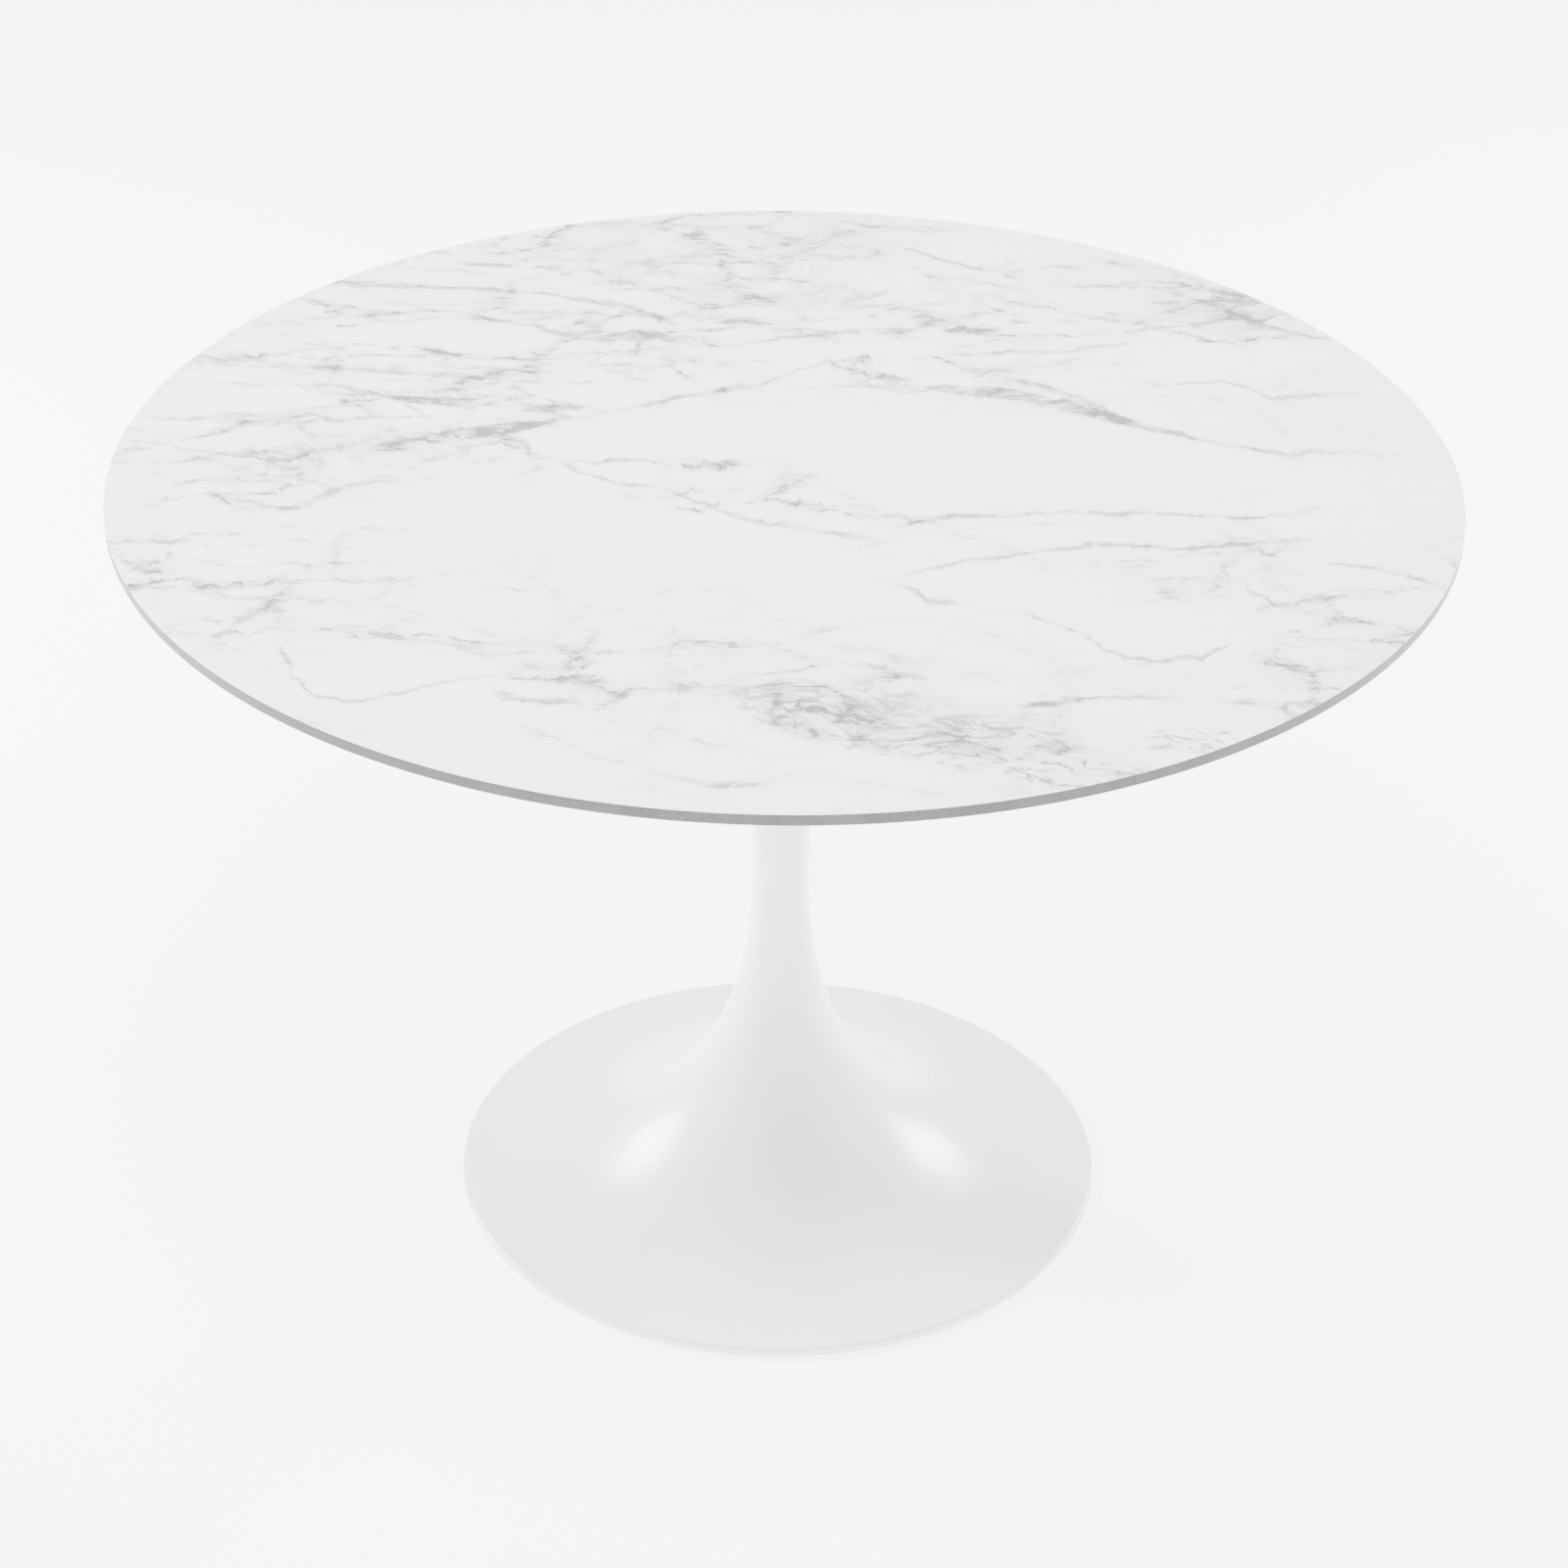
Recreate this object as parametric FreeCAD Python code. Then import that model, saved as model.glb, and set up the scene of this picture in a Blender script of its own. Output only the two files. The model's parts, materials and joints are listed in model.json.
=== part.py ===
import FreeCAD, Part
import math
import os

V = FreeCAD.Vector
UP = V(0, 0, 1)

# Round pedestal table, in millimetres. The origin is on the floor at the centre, +Z is up.

# ---- overall ----
TABLE_HEIGHT = 755.0  # floor to the top surface
TOP_RADIUS = 600.0

# ---- top ----
LAMINATE_THICKNESS = 0.8
LAMINATE_ARRIS = 0.3  # small chamfer round the top surface
EDGE_HEIGHT = 10.8  # upright edge seen from the side, laminate included
BAND_THICKNESS = 1.0
BAND_ARRIS = 0.6  # chamfer on the lower outer arris of the band
CORE_THICKNESS = 25.0
UNDERCUT_WIDTH = 85.0  # width of the slope that thins the core towards its edge
BALANCE_THICKNESS = 0.8
BALANCE_MARGIN = 3.0  # the backing sheet stops short of the slope

# ---- threaded inserts in the core ----
INSERT_RADIUS = 5.0
INSERT_LENGTH = 14.0
INSERT_FLANGE_RADIUS = 7.0
INSERT_FLANGE_HEIGHT = 0.8
INSERT_CLEARANCE = 0.1

# ---- spider under the top ----
ARM_COUNT = 4
ARM_START_ANGLE = 45.0
ARM_REACH = 318.0  # centre to the end of an arm
ARM_ROOT_HALF_WIDTH = 34.0
ARM_TIP_HALF_WIDTH = 18.0
ARM_PLATE = 6.0
ARM_WALL = 5.0  # side ribs of an arm
ARM_ROOT_DEPTH = 22.0
ARM_TIP_DEPTH = 9.0
ARM_INNER_BOLT_RADIUS = 165.0
ARM_BOLT_INSET = 20.0  # outer bolt from the end of the arm
HUB_HEIGHT = 24.0
HUB_TOP_RADIUS = 66.0
HUB_RADIUS_STEP = 1.0  # the hub's lower face is this much smaller than the pedestal's top
SPIGOT_RADIUS = 21.7
SPIGOT_LENGTH = 6.0
SPIGOT_CLEARANCE = 0.3
NUT_POCKET_RADIUS = 17.0
NUT_POCKET_DEPTH = 16.0

# ---- bolts of the spider ----
BOLT_RADIUS = 3.0
BOLT_HOLE_RADIUS = 3.4
BOLT_HEAD_FLATS = 10.0
BOLT_HEAD_HEIGHT = 4.0
BOLT_GRIP = 18.0  # length under the washers
WASHER_RADIUS = 6.2
WASHER_HEIGHT = 1.6
SPRING_RADIUS = 5.6
SPRING_HEIGHT = 1.6
SPRING_SLIT = 1.0
SCREW_CLEARANCE = 0.1  # between a screw and a washer, insert or tapped hole
TAP_RUNOUT = 1.0  # depth of a tapped hole past the screw's end

# ---- joint of the pedestal and the spider ----
GASKET_HEIGHT = 1.0
DOWEL_RADIUS = 3.0
DOWEL_CLEARANCE = 0.1
DOWEL_DEPTH = 8.0  # into each of the two castings
DOWEL_PITCH_RADIUS = 38.0
DOWEL_ANGLES = (0.0, 180.0)

# ---- pedestal casting ----
FOOT_RADIUS = 309.0
RIM_TOP_Z = 9.0
RIM_ROUND = 2.0
RIM_CHAMFER = 1.0
NECK_RADIUS = 26.6
NECK_Z = 332.8
FLARE_RISE_POWER = 0.567  # the two powers of the flared curve from the rim to the neck
FLARE_REACH_POWER = 0.489
FLARE_STATION_COUNT = 4  # stretches of the flare, each of two joined arcs
FLARE_CROWDING_POWER = 2.6  # draws the stations towards the rim, where the curve turns fastest
HEAD_RADIUS = 54.0
SHELL_WALL = 5.0
FLANGE_HEIGHT = 12.0
FLANGE_INSET = 0.5  # small chamfer at the top of the flange

# ---- land that holds the guide bush in the neck ----
LAND_HEIGHT = 28.0
LAND_RADIUS = 18.0
LAND_LIP_HEIGHT = 4.0
LAND_LIP_RADIUS = 13.0

# ---- frame inside the foot ----
RIB_COUNT = 6
RIB_THICKNESS = 6.0
RIB_STEP_GAP = 8.0  # from the clamp plate to the step of a rib, and from there to the ballast
RIB_INNER_TOP_Z = 110.0
RIB_OUTER_TOP_Z = 70.0
RIB_BALLAST_GAP = 4.0  # from the ballast's outer corner to the ribs that pass over it
BOSS_RADIUS = 24.0
SEAT_Z = 40.0  # lower face of the boss, where the clamp plate bears
PAD_RADIUS = 9.0  # bosses that take the ballast screws
COVER_PAD_RADIUS = 6.0  # bosses that take the cover screws

# ---- draw rod ----
ROD_RADIUS = 6.0
ROD_SHANK_RADIUS = 5.4
ROD_HOLE_RADIUS = 6.6
ROD_TOP_THREAD = 45.0
ROD_FOOT_THREAD = 60.0
ROD_TOP_GAP = 1.2  # rod's end below the backing sheet
ROD_FOOT_OVERHANG = 4.5  # rod's end below the lower nut
ROD_CHAMFER = 1.0
ROD_NUT_FLATS = 18.0
ROD_NUT_HEIGHT = 10.0
ROD_WASHER_RADIUS = 12.0
ROD_WASHER_HEIGHT = 2.5
ROD_SPRING_RADIUS = 10.5
ROD_SPRING_HEIGHT = 3.0
ROD_SPRING_SLIT = 1.6
BUSH_CLEARANCE = 0.15
CLAMP_RADIUS = 84.0
CLAMP_THICKNESS = 8.0
CLAMP_CHAMFER = 1.0

# ---- ballast ----
BALLAST_OVERHEAD_Z = 25.7  # level of the pedestal's outer face over the ballast's edge
BALLAST_SHOULDER_WIDTH = 30.0
BALLAST_TOP_Z = 22.0
BALLAST_THICKNESS = 14.0
BALLAST_EDGE_HEIGHT = 6.0
BALLAST_BORE_RADIUS = 11.0
BALLAST_BORE_DEPTH = 8.0
BALLAST_SCREW_RADIUS = 4.0
BALLAST_SCREW_HOLE_RADIUS = 4.5
BALLAST_SCREW_FLATS = 13.0
BALLAST_SCREW_HEAD = 5.3
BALLAST_SCREW_ENGAGEMENT = 12.0  # thread inside the pad
BALLAST_WASHER_RADIUS = 8.5
BALLAST_WASHER_HEIGHT = 1.6

# ---- cover and glide ring ----
RIM_WIDTH = 19.0  # solid ring round the cover
COVER_LEDGE_WIDTH = 12.0  # ledge in the casting that the cover's edge bears on
COVER_SEAT_Z = 5.0
COVER_THICKNESS = 1.5
COVER_CLEARANCE = 0.5
COVER_SCREW_OVERHEAD_Z = 19.4  # level of the pedestal's outer face over the cover screws
COVER_SCREW_RADIUS = 2.0
COVER_SCREW_HEAD_RADIUS = 4.0
COVER_SCREW_HEAD_HEIGHT = 1.8
COVER_SCREW_ENGAGEMENT = 5.0
COVER_SCREW_SLOT = 0.9
COVER_SCREW_SLOT_DEPTH = 0.8
GLIDE_REVEAL = 1.0  # height of the glide ring that shows below the rim
GLIDE_INSET = 5.0  # from the foot's edge to the ring
GLIDE_WIDTH = 10.0
GLIDE_SEAT_DEPTH = 1.6
GLIDE_CLEARANCE = 0.1
GLIDE_ARRIS = 0.5

# ---- levels and radii that follow ----
CORE_TOP_Z = TABLE_HEIGHT - LAMINATE_THICKNESS
EDGE_BOTTOM_Z = TABLE_HEIGHT - EDGE_HEIGHT
CORE_RADIUS = TOP_RADIUS - BAND_THICKNESS
CORE_BOTTOM_Z = CORE_TOP_Z - CORE_THICKNESS
UNDERCUT_RADIUS = CORE_RADIUS - UNDERCUT_WIDTH
TOP_UNDERSIDE_Z = CORE_BOTTOM_Z - BALANCE_THICKNESS
HUB_BOTTOM_Z = TOP_UNDERSIDE_Z - HUB_HEIGHT
HEAD_Z = HUB_BOTTOM_Z - GASKET_HEIGHT
HUB_BOTTOM_RADIUS = HEAD_RADIUS - HUB_RADIUS_STEP
ARM_PLATE_Z = TOP_UNDERSIDE_Z - ARM_PLATE
NUT_POCKET_Z = TOP_UNDERSIDE_Z - NUT_POCKET_DEPTH
COVER_RECESS_RADIUS = FOOT_RADIUS - RIM_WIDTH
GLIDE_OUTER_RADIUS = FOOT_RADIUS - GLIDE_INSET
GLIDE_INNER_RADIUS = GLIDE_OUTER_RADIUS - GLIDE_WIDTH
RIB_STEP_RADIUS = CLAMP_RADIUS + RIB_STEP_GAP
BALLAST_INNER_RADIUS = RIB_STEP_RADIUS + RIB_STEP_GAP
BALLAST_BOTTOM_Z = BALLAST_TOP_Z - BALLAST_THICKNESS
BALLAST_EDGE_Z = BALLAST_BOTTOM_Z + BALLAST_EDGE_HEIGHT
CLAMP_BOTTOM_Z = SEAT_Z - CLAMP_THICKNESS
ROD_WASHER_Z = CLAMP_BOTTOM_Z - ROD_WASHER_HEIGHT
ROD_SPRING_Z = ROD_WASHER_Z - ROD_SPRING_HEIGHT
ROD_NUT_Z = ROD_SPRING_Z - ROD_NUT_HEIGHT
ROD_BOTTOM_Z = ROD_NUT_Z - ROD_FOOT_OVERHANG
ROD_TOP_Z = TOP_UNDERSIDE_Z - ROD_TOP_GAP
LAND_TOP_Z = NECK_Z + LAND_HEIGHT / 2
LAND_BOTTOM_Z = NECK_Z - LAND_HEIGHT / 2
BUSH_SEAT_Z = LAND_BOTTOM_Z + LAND_LIP_HEIGHT
CLEAR = 1.0  # how far a cutting tool runs past the face that it opens


def flare_radius(z):
    """Outer radius of the pedestal at a level between its rim and its neck."""
    rise = (z - RIM_TOP_Z) / (NECK_Z - RIM_TOP_Z)
    open_part = 1 - rise**FLARE_RISE_POWER
    return NECK_RADIUS + (FOOT_RADIUS - NECK_RADIUS) * open_part ** (1 / FLARE_REACH_POWER)


COVER_SCREW_PITCH = flare_radius(COVER_SCREW_OVERHEAD_Z)
BALLAST_OUTER_RADIUS = flare_radius(BALLAST_OVERHEAD_Z)
BALLAST_SHOULDER_RADIUS = BALLAST_OUTER_RADIUS - BALLAST_SHOULDER_WIDTH
PAD_PITCH_RADIUS = (BALLAST_INNER_RADIUS + BALLAST_SHOULDER_RADIUS) / 2


def at(radius, z):
    """A point of a profile that turns about the table's axis."""
    return V(radius, 0, z)


def chain(points):
    """Straight edges from each point to the next."""
    pairs = zip(points, points[1:])
    return [Part.makeLine(a, b) for a, b in pairs]


def turned(edges):
    """Solid of revolution about the table's axis from a closed profile."""
    face = Part.Face(Part.Wire(edges))
    return face.revolve(V(0, 0, 0), UP, 360)


def turned_points(points):
    """Solid of revolution from a profile of straight edges."""
    return turned(chain(points + points[:1]))


def rod(radius, z0, z1, x=0.0, y=0.0):
    """Upright cylinder between two levels."""
    return Part.makeCylinder(radius, z1 - z0, V(x, y, z0))


def tube(outer, inner, z0, z1, x=0.0, y=0.0):
    """Upright tube between two levels."""
    return rod(outer, z0, z1, x, y).cut(rod(inner, z0 - CLEAR, z1 + CLEAR, x, y))


def around(shape, count, start=0.0):
    """Copies of a shape spaced evenly round the table's axis."""
    copies = []
    for i in range(count):
        copy = shape.copy()
        copy.rotate(V(0, 0, 0), UP, start + i * 360.0 / count)
        copies.append(copy)
    return copies


def split_ring(outer, inner, slit, z0, z1, x=0.0):
    """Spring washer: a flat ring with a slit through one side."""
    ring = tube(outer, inner, z0, z1, x)
    gap = Part.makeBox(outer + CLEAR, slit, z1 - z0 + 2 * CLEAR, V(x, -slit / 2, z0 - CLEAR))
    return ring.cut(gap)


def hexagon(flats, z0, z1, x=0.0, y=0.0):
    """Six-sided prism between two levels, as a bolt's head or a nut."""
    corner = flats / math.sqrt(3)
    points = []
    for i in range(7):
        angle = math.radians(60 * i)
        points.append(V(x + corner * math.cos(angle), y + corner * math.sin(angle), z0))
    return Part.Face(Part.makePolygon(points)).extrude(V(0, 0, z1 - z0))


def on_arms(make):
    """One piece at each bolt of each arm. make gives the piece for one distance."""
    pieces = []
    for radius in (ARM_INNER_BOLT_RADIUS, ARM_REACH - ARM_BOLT_INSET):
        pieces += around(make(radius), ARM_COUNT, ARM_START_ANGLE)
    return Part.makeCompound(pieces)


# ---------------------------------------------------------------- top


def marble_laminate():
    """Decorative sheet, eased round its upper arris."""
    return turned_points([
        at(0, CORE_TOP_Z),
        at(TOP_RADIUS, CORE_TOP_Z),
        at(TOP_RADIUS, TABLE_HEIGHT - LAMINATE_ARRIS),
        at(TOP_RADIUS - LAMINATE_ARRIS, TABLE_HEIGHT),
        at(0, TABLE_HEIGHT),
    ])


def insert_bore(x):
    """Hole for one insert with the room for its flange."""
    z = TOP_UNDERSIDE_Z
    barrel = rod(INSERT_RADIUS + INSERT_CLEARANCE, z - CLEAR, z + INSERT_LENGTH, x)
    flange = rod(INSERT_FLANGE_RADIUS + INSERT_CLEARANCE, z - CLEAR, z + INSERT_FLANGE_HEIGHT, x)
    return barrel.fuse(flange)


def top_core():
    """Board, full thickness in the middle and thinned to the edge from below."""
    core = turned_points([
        at(0, CORE_BOTTOM_Z),
        at(UNDERCUT_RADIUS, CORE_BOTTOM_Z),
        at(CORE_RADIUS, EDGE_BOTTOM_Z),
        at(CORE_RADIUS, CORE_TOP_Z),
        at(0, CORE_TOP_Z),
    ])
    return core.cut(on_arms(insert_bore))


def edge_band():
    """Band glued round the core, eased on its lower outer arris."""
    return turned_points([
        at(CORE_RADIUS, EDGE_BOTTOM_Z),
        at(TOP_RADIUS - BAND_ARRIS, EDGE_BOTTOM_Z),
        at(TOP_RADIUS, EDGE_BOTTOM_Z + BAND_ARRIS),
        at(TOP_RADIUS, CORE_TOP_Z),
        at(CORE_RADIUS, CORE_TOP_Z),
    ])


def balancing_sheet():
    """Backing sheet under the full thickness of the core."""
    sheet = rod(UNDERCUT_RADIUS - BALANCE_MARGIN, TOP_UNDERSIDE_Z, CORE_BOTTOM_Z)
    return sheet.cut(on_arms(insert_bore))


def threaded_insert(x):
    """Flanged insert screwed up into the board."""
    z = TOP_UNDERSIDE_Z
    bore = BOLT_RADIUS + SCREW_CLEARANCE
    body = rod(INSERT_RADIUS, z, z + INSERT_LENGTH, x)
    body = body.fuse(rod(INSERT_FLANGE_RADIUS, z, z + INSERT_FLANGE_HEIGHT, x))
    return body.cut(rod(bore, z - CLEAR, z + INSERT_LENGTH + CLEAR, x))


# ---------------------------------------------------------------- spider


def arm_outline(inset, z):
    """Plan of one arm along +X, drawn in from its outside by an inset, with a round end."""
    root = ARM_ROOT_HALF_WIDTH - inset
    tip = ARM_TIP_HALF_WIDTH - inset
    tip_x = ARM_REACH - ARM_TIP_HALF_WIDTH
    edges = chain([V(tip_x, -tip, z), V(0, -root, z), V(0, root, z), V(tip_x, tip, z)])
    edges.append(Part.Arc(V(tip_x, tip, z), V(tip_x + tip, 0, z), V(tip_x, -tip, z)).toShape())
    return Part.Face(Part.Wire(edges))


def spider_arm():
    """Arm of channel section: a plate under the top and a side rib that gets shallower outwards."""
    low = TOP_UNDERSIDE_Z - ARM_ROOT_DEPTH
    arm = arm_outline(0, low).extrude(V(0, 0, ARM_ROOT_DEPTH))
    channel = arm_outline(ARM_WALL, low - CLEAR).extrude(V(0, 0, ARM_ROOT_DEPTH + CLEAR - ARM_PLATE))
    half = ARM_ROOT_HALF_WIDTH + CLEAR
    slope = Part.makePolygon([
        V(HUB_BOTTOM_RADIUS, -half, low - CLEAR),
        V(HUB_BOTTOM_RADIUS, -half, low),
        V(ARM_REACH, -half, TOP_UNDERSIDE_Z - ARM_TIP_DEPTH),
        V(ARM_REACH + CLEAR, -half, low - CLEAR),
        V(HUB_BOTTOM_RADIUS, -half, low - CLEAR),
    ])
    wedge = Part.Face(slope).extrude(V(0, 2 * half, 0))
    return arm.cut(channel).cut(wedge)


def spider_hub():
    """Tapered hub with the spigot that drops into the pedestal."""
    spigot_z = HUB_BOTTOM_Z - SPIGOT_LENGTH
    return turned_points([
        at(0, spigot_z),
        at(SPIGOT_RADIUS, spigot_z),
        at(SPIGOT_RADIUS, HUB_BOTTOM_Z),
        at(HUB_BOTTOM_RADIUS, HUB_BOTTOM_Z),
        at(HUB_TOP_RADIUS, TOP_UNDERSIDE_Z),
        at(0, TOP_UNDERSIDE_Z),
    ])


def dowel_bores(z0, z1):
    """Holes for the two dowels between two levels."""
    bores = []
    for angle in DOWEL_ANGLES:
        bore = rod(DOWEL_RADIUS + DOWEL_CLEARANCE, z0, z1, DOWEL_PITCH_RADIUS)
        bore.rotate(V(0, 0, 0), UP, angle)
        bores.append(bore)
    return Part.makeCompound(bores)


def arm_bolt_hole(x):
    """Clearance hole through the plate of an arm."""
    return rod(BOLT_HOLE_RADIUS, ARM_PLATE_Z - CLEAR, TOP_UNDERSIDE_Z + CLEAR, x)


def mounting_spider():
    """Casting between the pedestal and the top: hub, arms and every hole in them."""
    hub = spider_hub()
    spider = hub.multiFuse(around(spider_arm(), ARM_COUNT, ARM_START_ANGLE))
    spider = spider.cut(rod(NUT_POCKET_RADIUS, NUT_POCKET_Z, TOP_UNDERSIDE_Z + CLEAR))
    spider = spider.cut(rod(ROD_HOLE_RADIUS, HUB_BOTTOM_Z - SPIGOT_LENGTH - CLEAR, NUT_POCKET_Z + CLEAR))
    spider = spider.cut(dowel_bores(HUB_BOTTOM_Z - CLEAR, HUB_BOTTOM_Z + DOWEL_DEPTH))
    return spider.cut(on_arms(arm_bolt_hole)).removeSplitter()


def spider_washer(x):
    """Flat washer under the plate of an arm."""
    inner = BOLT_RADIUS + SCREW_CLEARANCE
    return tube(WASHER_RADIUS, inner, ARM_PLATE_Z - WASHER_HEIGHT, ARM_PLATE_Z, x)


def spider_spring_washer(x):
    """Spring washer between the flat washer and the bolt's head."""
    high = ARM_PLATE_Z - WASHER_HEIGHT
    inner = BOLT_RADIUS + SCREW_CLEARANCE
    return split_ring(SPRING_RADIUS, inner, SPRING_SLIT, high - SPRING_HEIGHT, high, x)


def spider_bolt(x):
    """Hexagon bolt driven up into an insert."""
    seat = ARM_PLATE_Z - WASHER_HEIGHT - SPRING_HEIGHT
    head = hexagon(BOLT_HEAD_FLATS, seat - BOLT_HEAD_HEIGHT, seat, x)
    return head.fuse(rod(BOLT_RADIUS, seat, seat + BOLT_GRIP, x))


def neck_gasket():
    """Thin ring between the two machined faces, pierced for the dowels."""
    ring = tube(HUB_BOTTOM_RADIUS, SPIGOT_RADIUS + SPIGOT_CLEARANCE, HEAD_Z, HUB_BOTTOM_Z)
    return ring.cut(dowel_bores(HEAD_Z - CLEAR, HUB_BOTTOM_Z + CLEAR))


def dowel_pins():
    """Pins that stop the top turning on the pedestal."""
    pins = []
    for angle in DOWEL_ANGLES:
        pin = rod(DOWEL_RADIUS, HEAD_Z - DOWEL_DEPTH, HUB_BOTTOM_Z + DOWEL_DEPTH, DOWEL_PITCH_RADIUS)
        pin.rotate(V(0, 0, 0), UP, angle)
        pins.append(pin)
    return Part.makeCompound(pins)


# ---------------------------------------------------------------- pedestal


def arc_from(start, heading, end):
    """Arc that leaves its start along a heading and runs to its end."""
    chord = end - start
    forward = V(chord).normalize()
    side = (heading - forward * heading.dot(forward)).normalize()
    bow = chord.Length / 2 * math.tan(heading.getAngle(forward) / 2)
    return Part.Arc(start, (start + end) * 0.5 + side * bow, end).toNurbs().toShape()


def joined_arcs(start, heading, end, last_heading):
    """Two arcs, smoothly joined, that leave along one heading and arrive along another."""
    reach = end - start
    along = reach.dot(heading + last_heading)
    spread = 2 * (1 - heading.dot(last_heading))
    handle = (math.sqrt(along**2 + spread * reach.dot(reach)) - along) / spread
    joint = (start + end + (heading - last_heading) * handle) * 0.5
    forward = (joint - start).normalize()
    joint_heading = forward * (2 * heading.dot(forward)) - heading
    return [arc_from(start, heading, joint), arc_from(joint, joint_heading, end)]


def flare_station(step, depth):
    """Point at a depth below the flare's outer face, and the curve's heading there."""
    rise = (step / FLARE_STATION_COUNT) ** FLARE_CROWDING_POWER
    height = NECK_Z - RIM_TOP_Z
    open_part = 1 - rise**FLARE_RISE_POWER
    fall = (FOOT_RADIUS - NECK_RADIUS) / FLARE_REACH_POWER * open_part ** (1 / FLARE_REACH_POWER - 1)
    slope = -fall * FLARE_RISE_POWER * rise ** (FLARE_RISE_POWER - 1)
    heading = V(slope, 0, height).normalize()
    z = RIM_TOP_Z + rise * height
    return at(flare_radius(z), z) + V(-heading.z, 0, heading.x) * depth, heading


def flare_curve(depth):
    """Arcs from the rim up to the neck, at a depth below the outer face."""
    stations = [(at(FOOT_RADIUS - RIM_ROUND, RIM_TOP_Z - depth), V(-1, 0, 0))]
    for step in range(1, FLARE_STATION_COUNT):
        stations.append(flare_station(step, depth))
    stations.append((at(NECK_RADIUS - depth, NECK_Z), UP))
    edges = []
    for low, high in zip(stations, stations[1:]):
        edges += joined_arcs(*low, *high)
    return edges


def head_curve(depth, top_z):
    """Arcs from the neck up to the wider head, at a depth below the outer face."""
    growth = HEAD_RADIUS - NECK_RADIUS
    heading = V(2 * growth, 0, top_z - NECK_Z).normalize()
    return joined_arcs(at(NECK_RADIUS - depth, NECK_Z), UP, at(HEAD_RADIUS - depth, top_z), heading)


def outer_body():
    """The pedestal as if it were solid: rim, flare, neck and head."""
    turn = FOOT_RADIUS - RIM_ROUND
    bow = RIM_ROUND * math.sqrt(0.5)
    side = at(FOOT_RADIUS, RIM_TOP_Z - RIM_ROUND)
    middle = at(turn + bow, RIM_TOP_Z - RIM_ROUND + bow)
    shoulder = at(turn, RIM_TOP_Z)
    rim = chain([
        at(0, GLIDE_REVEAL),
        at(FOOT_RADIUS - RIM_CHAMFER, GLIDE_REVEAL),
        at(FOOT_RADIUS, GLIDE_REVEAL + RIM_CHAMFER),
        side,
    ])
    rim.append(Part.Arc(side, middle, shoulder).toShape())
    shoulder_z = HEAD_Z - FLANGE_INSET
    closing = chain([
        at(HEAD_RADIUS, shoulder_z),
        at(HEAD_RADIUS - FLANGE_INSET, HEAD_Z),
        at(0, HEAD_Z),
        at(0, GLIDE_REVEAL),
    ])
    return turned(rim + flare_curve(0.0) + head_curve(0.0, shoulder_z) + closing)


def inner_hollow():
    """The space inside the walls, open at the foot and closed under the flange."""
    ceiling = HEAD_Z - FLANGE_HEIGHT
    reach = FOOT_RADIUS - RIM_ROUND
    closing = chain([
        at(HEAD_RADIUS - SHELL_WALL, HEAD_Z),
        at(0, HEAD_Z),
        at(0, -CLEAR),
        at(reach, -CLEAR),
        at(reach, RIM_TOP_Z - SHELL_WALL),
    ])
    space = turned(flare_curve(SHELL_WALL) + head_curve(SHELL_WALL, HEAD_Z) + closing)
    return space.common(rod(COVER_RECESS_RADIUS - COVER_LEDGE_WIDTH, -CLEAR, ceiling))


def neck_land():
    """Machined seat and lip that hold the guide bush."""
    seat = tube(NECK_RADIUS, LAND_RADIUS, LAND_BOTTOM_Z, LAND_TOP_Z)
    lip = tube(NECK_RADIUS, LAND_LIP_RADIUS, LAND_BOTTOM_Z, BUSH_SEAT_Z)
    return seat.fuse(lip)


def pedestal_shell():
    """Hollow casting that carries the top and stands on the glide ring."""
    shell = outer_body().cut(inner_hollow()).fuse(neck_land())
    return shell.cut([
        rod(COVER_RECESS_RADIUS, 0, COVER_SEAT_Z),
        rod(SPIGOT_RADIUS + SPIGOT_CLEARANCE, HEAD_Z - FLANGE_HEIGHT - CLEAR, HEAD_Z + CLEAR),
        dowel_bores(HEAD_Z - DOWEL_DEPTH, HEAD_Z + CLEAR),
        glide_groove(),
    ])


def glide_groove():
    """Groove in the underside of the rim."""
    outer = GLIDE_OUTER_RADIUS + GLIDE_CLEARANCE
    inner = GLIDE_INNER_RADIUS - GLIDE_CLEARANCE
    return tube(outer, inner, 0, GLIDE_REVEAL + GLIDE_SEAT_DEPTH)


def glide_ring():
    """Ring in the groove that stands on the floor, eased where it meets it."""
    high = GLIDE_REVEAL + GLIDE_SEAT_DEPTH
    return turned_points([
        at(GLIDE_INNER_RADIUS + GLIDE_ARRIS, 0),
        at(GLIDE_OUTER_RADIUS - GLIDE_ARRIS, 0),
        at(GLIDE_OUTER_RADIUS, GLIDE_ARRIS),
        at(GLIDE_OUTER_RADIUS, high),
        at(GLIDE_INNER_RADIUS, high),
        at(GLIDE_INNER_RADIUS, GLIDE_ARRIS),
    ])


# ---------------------------------------------------------------- frame inside the foot


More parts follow.
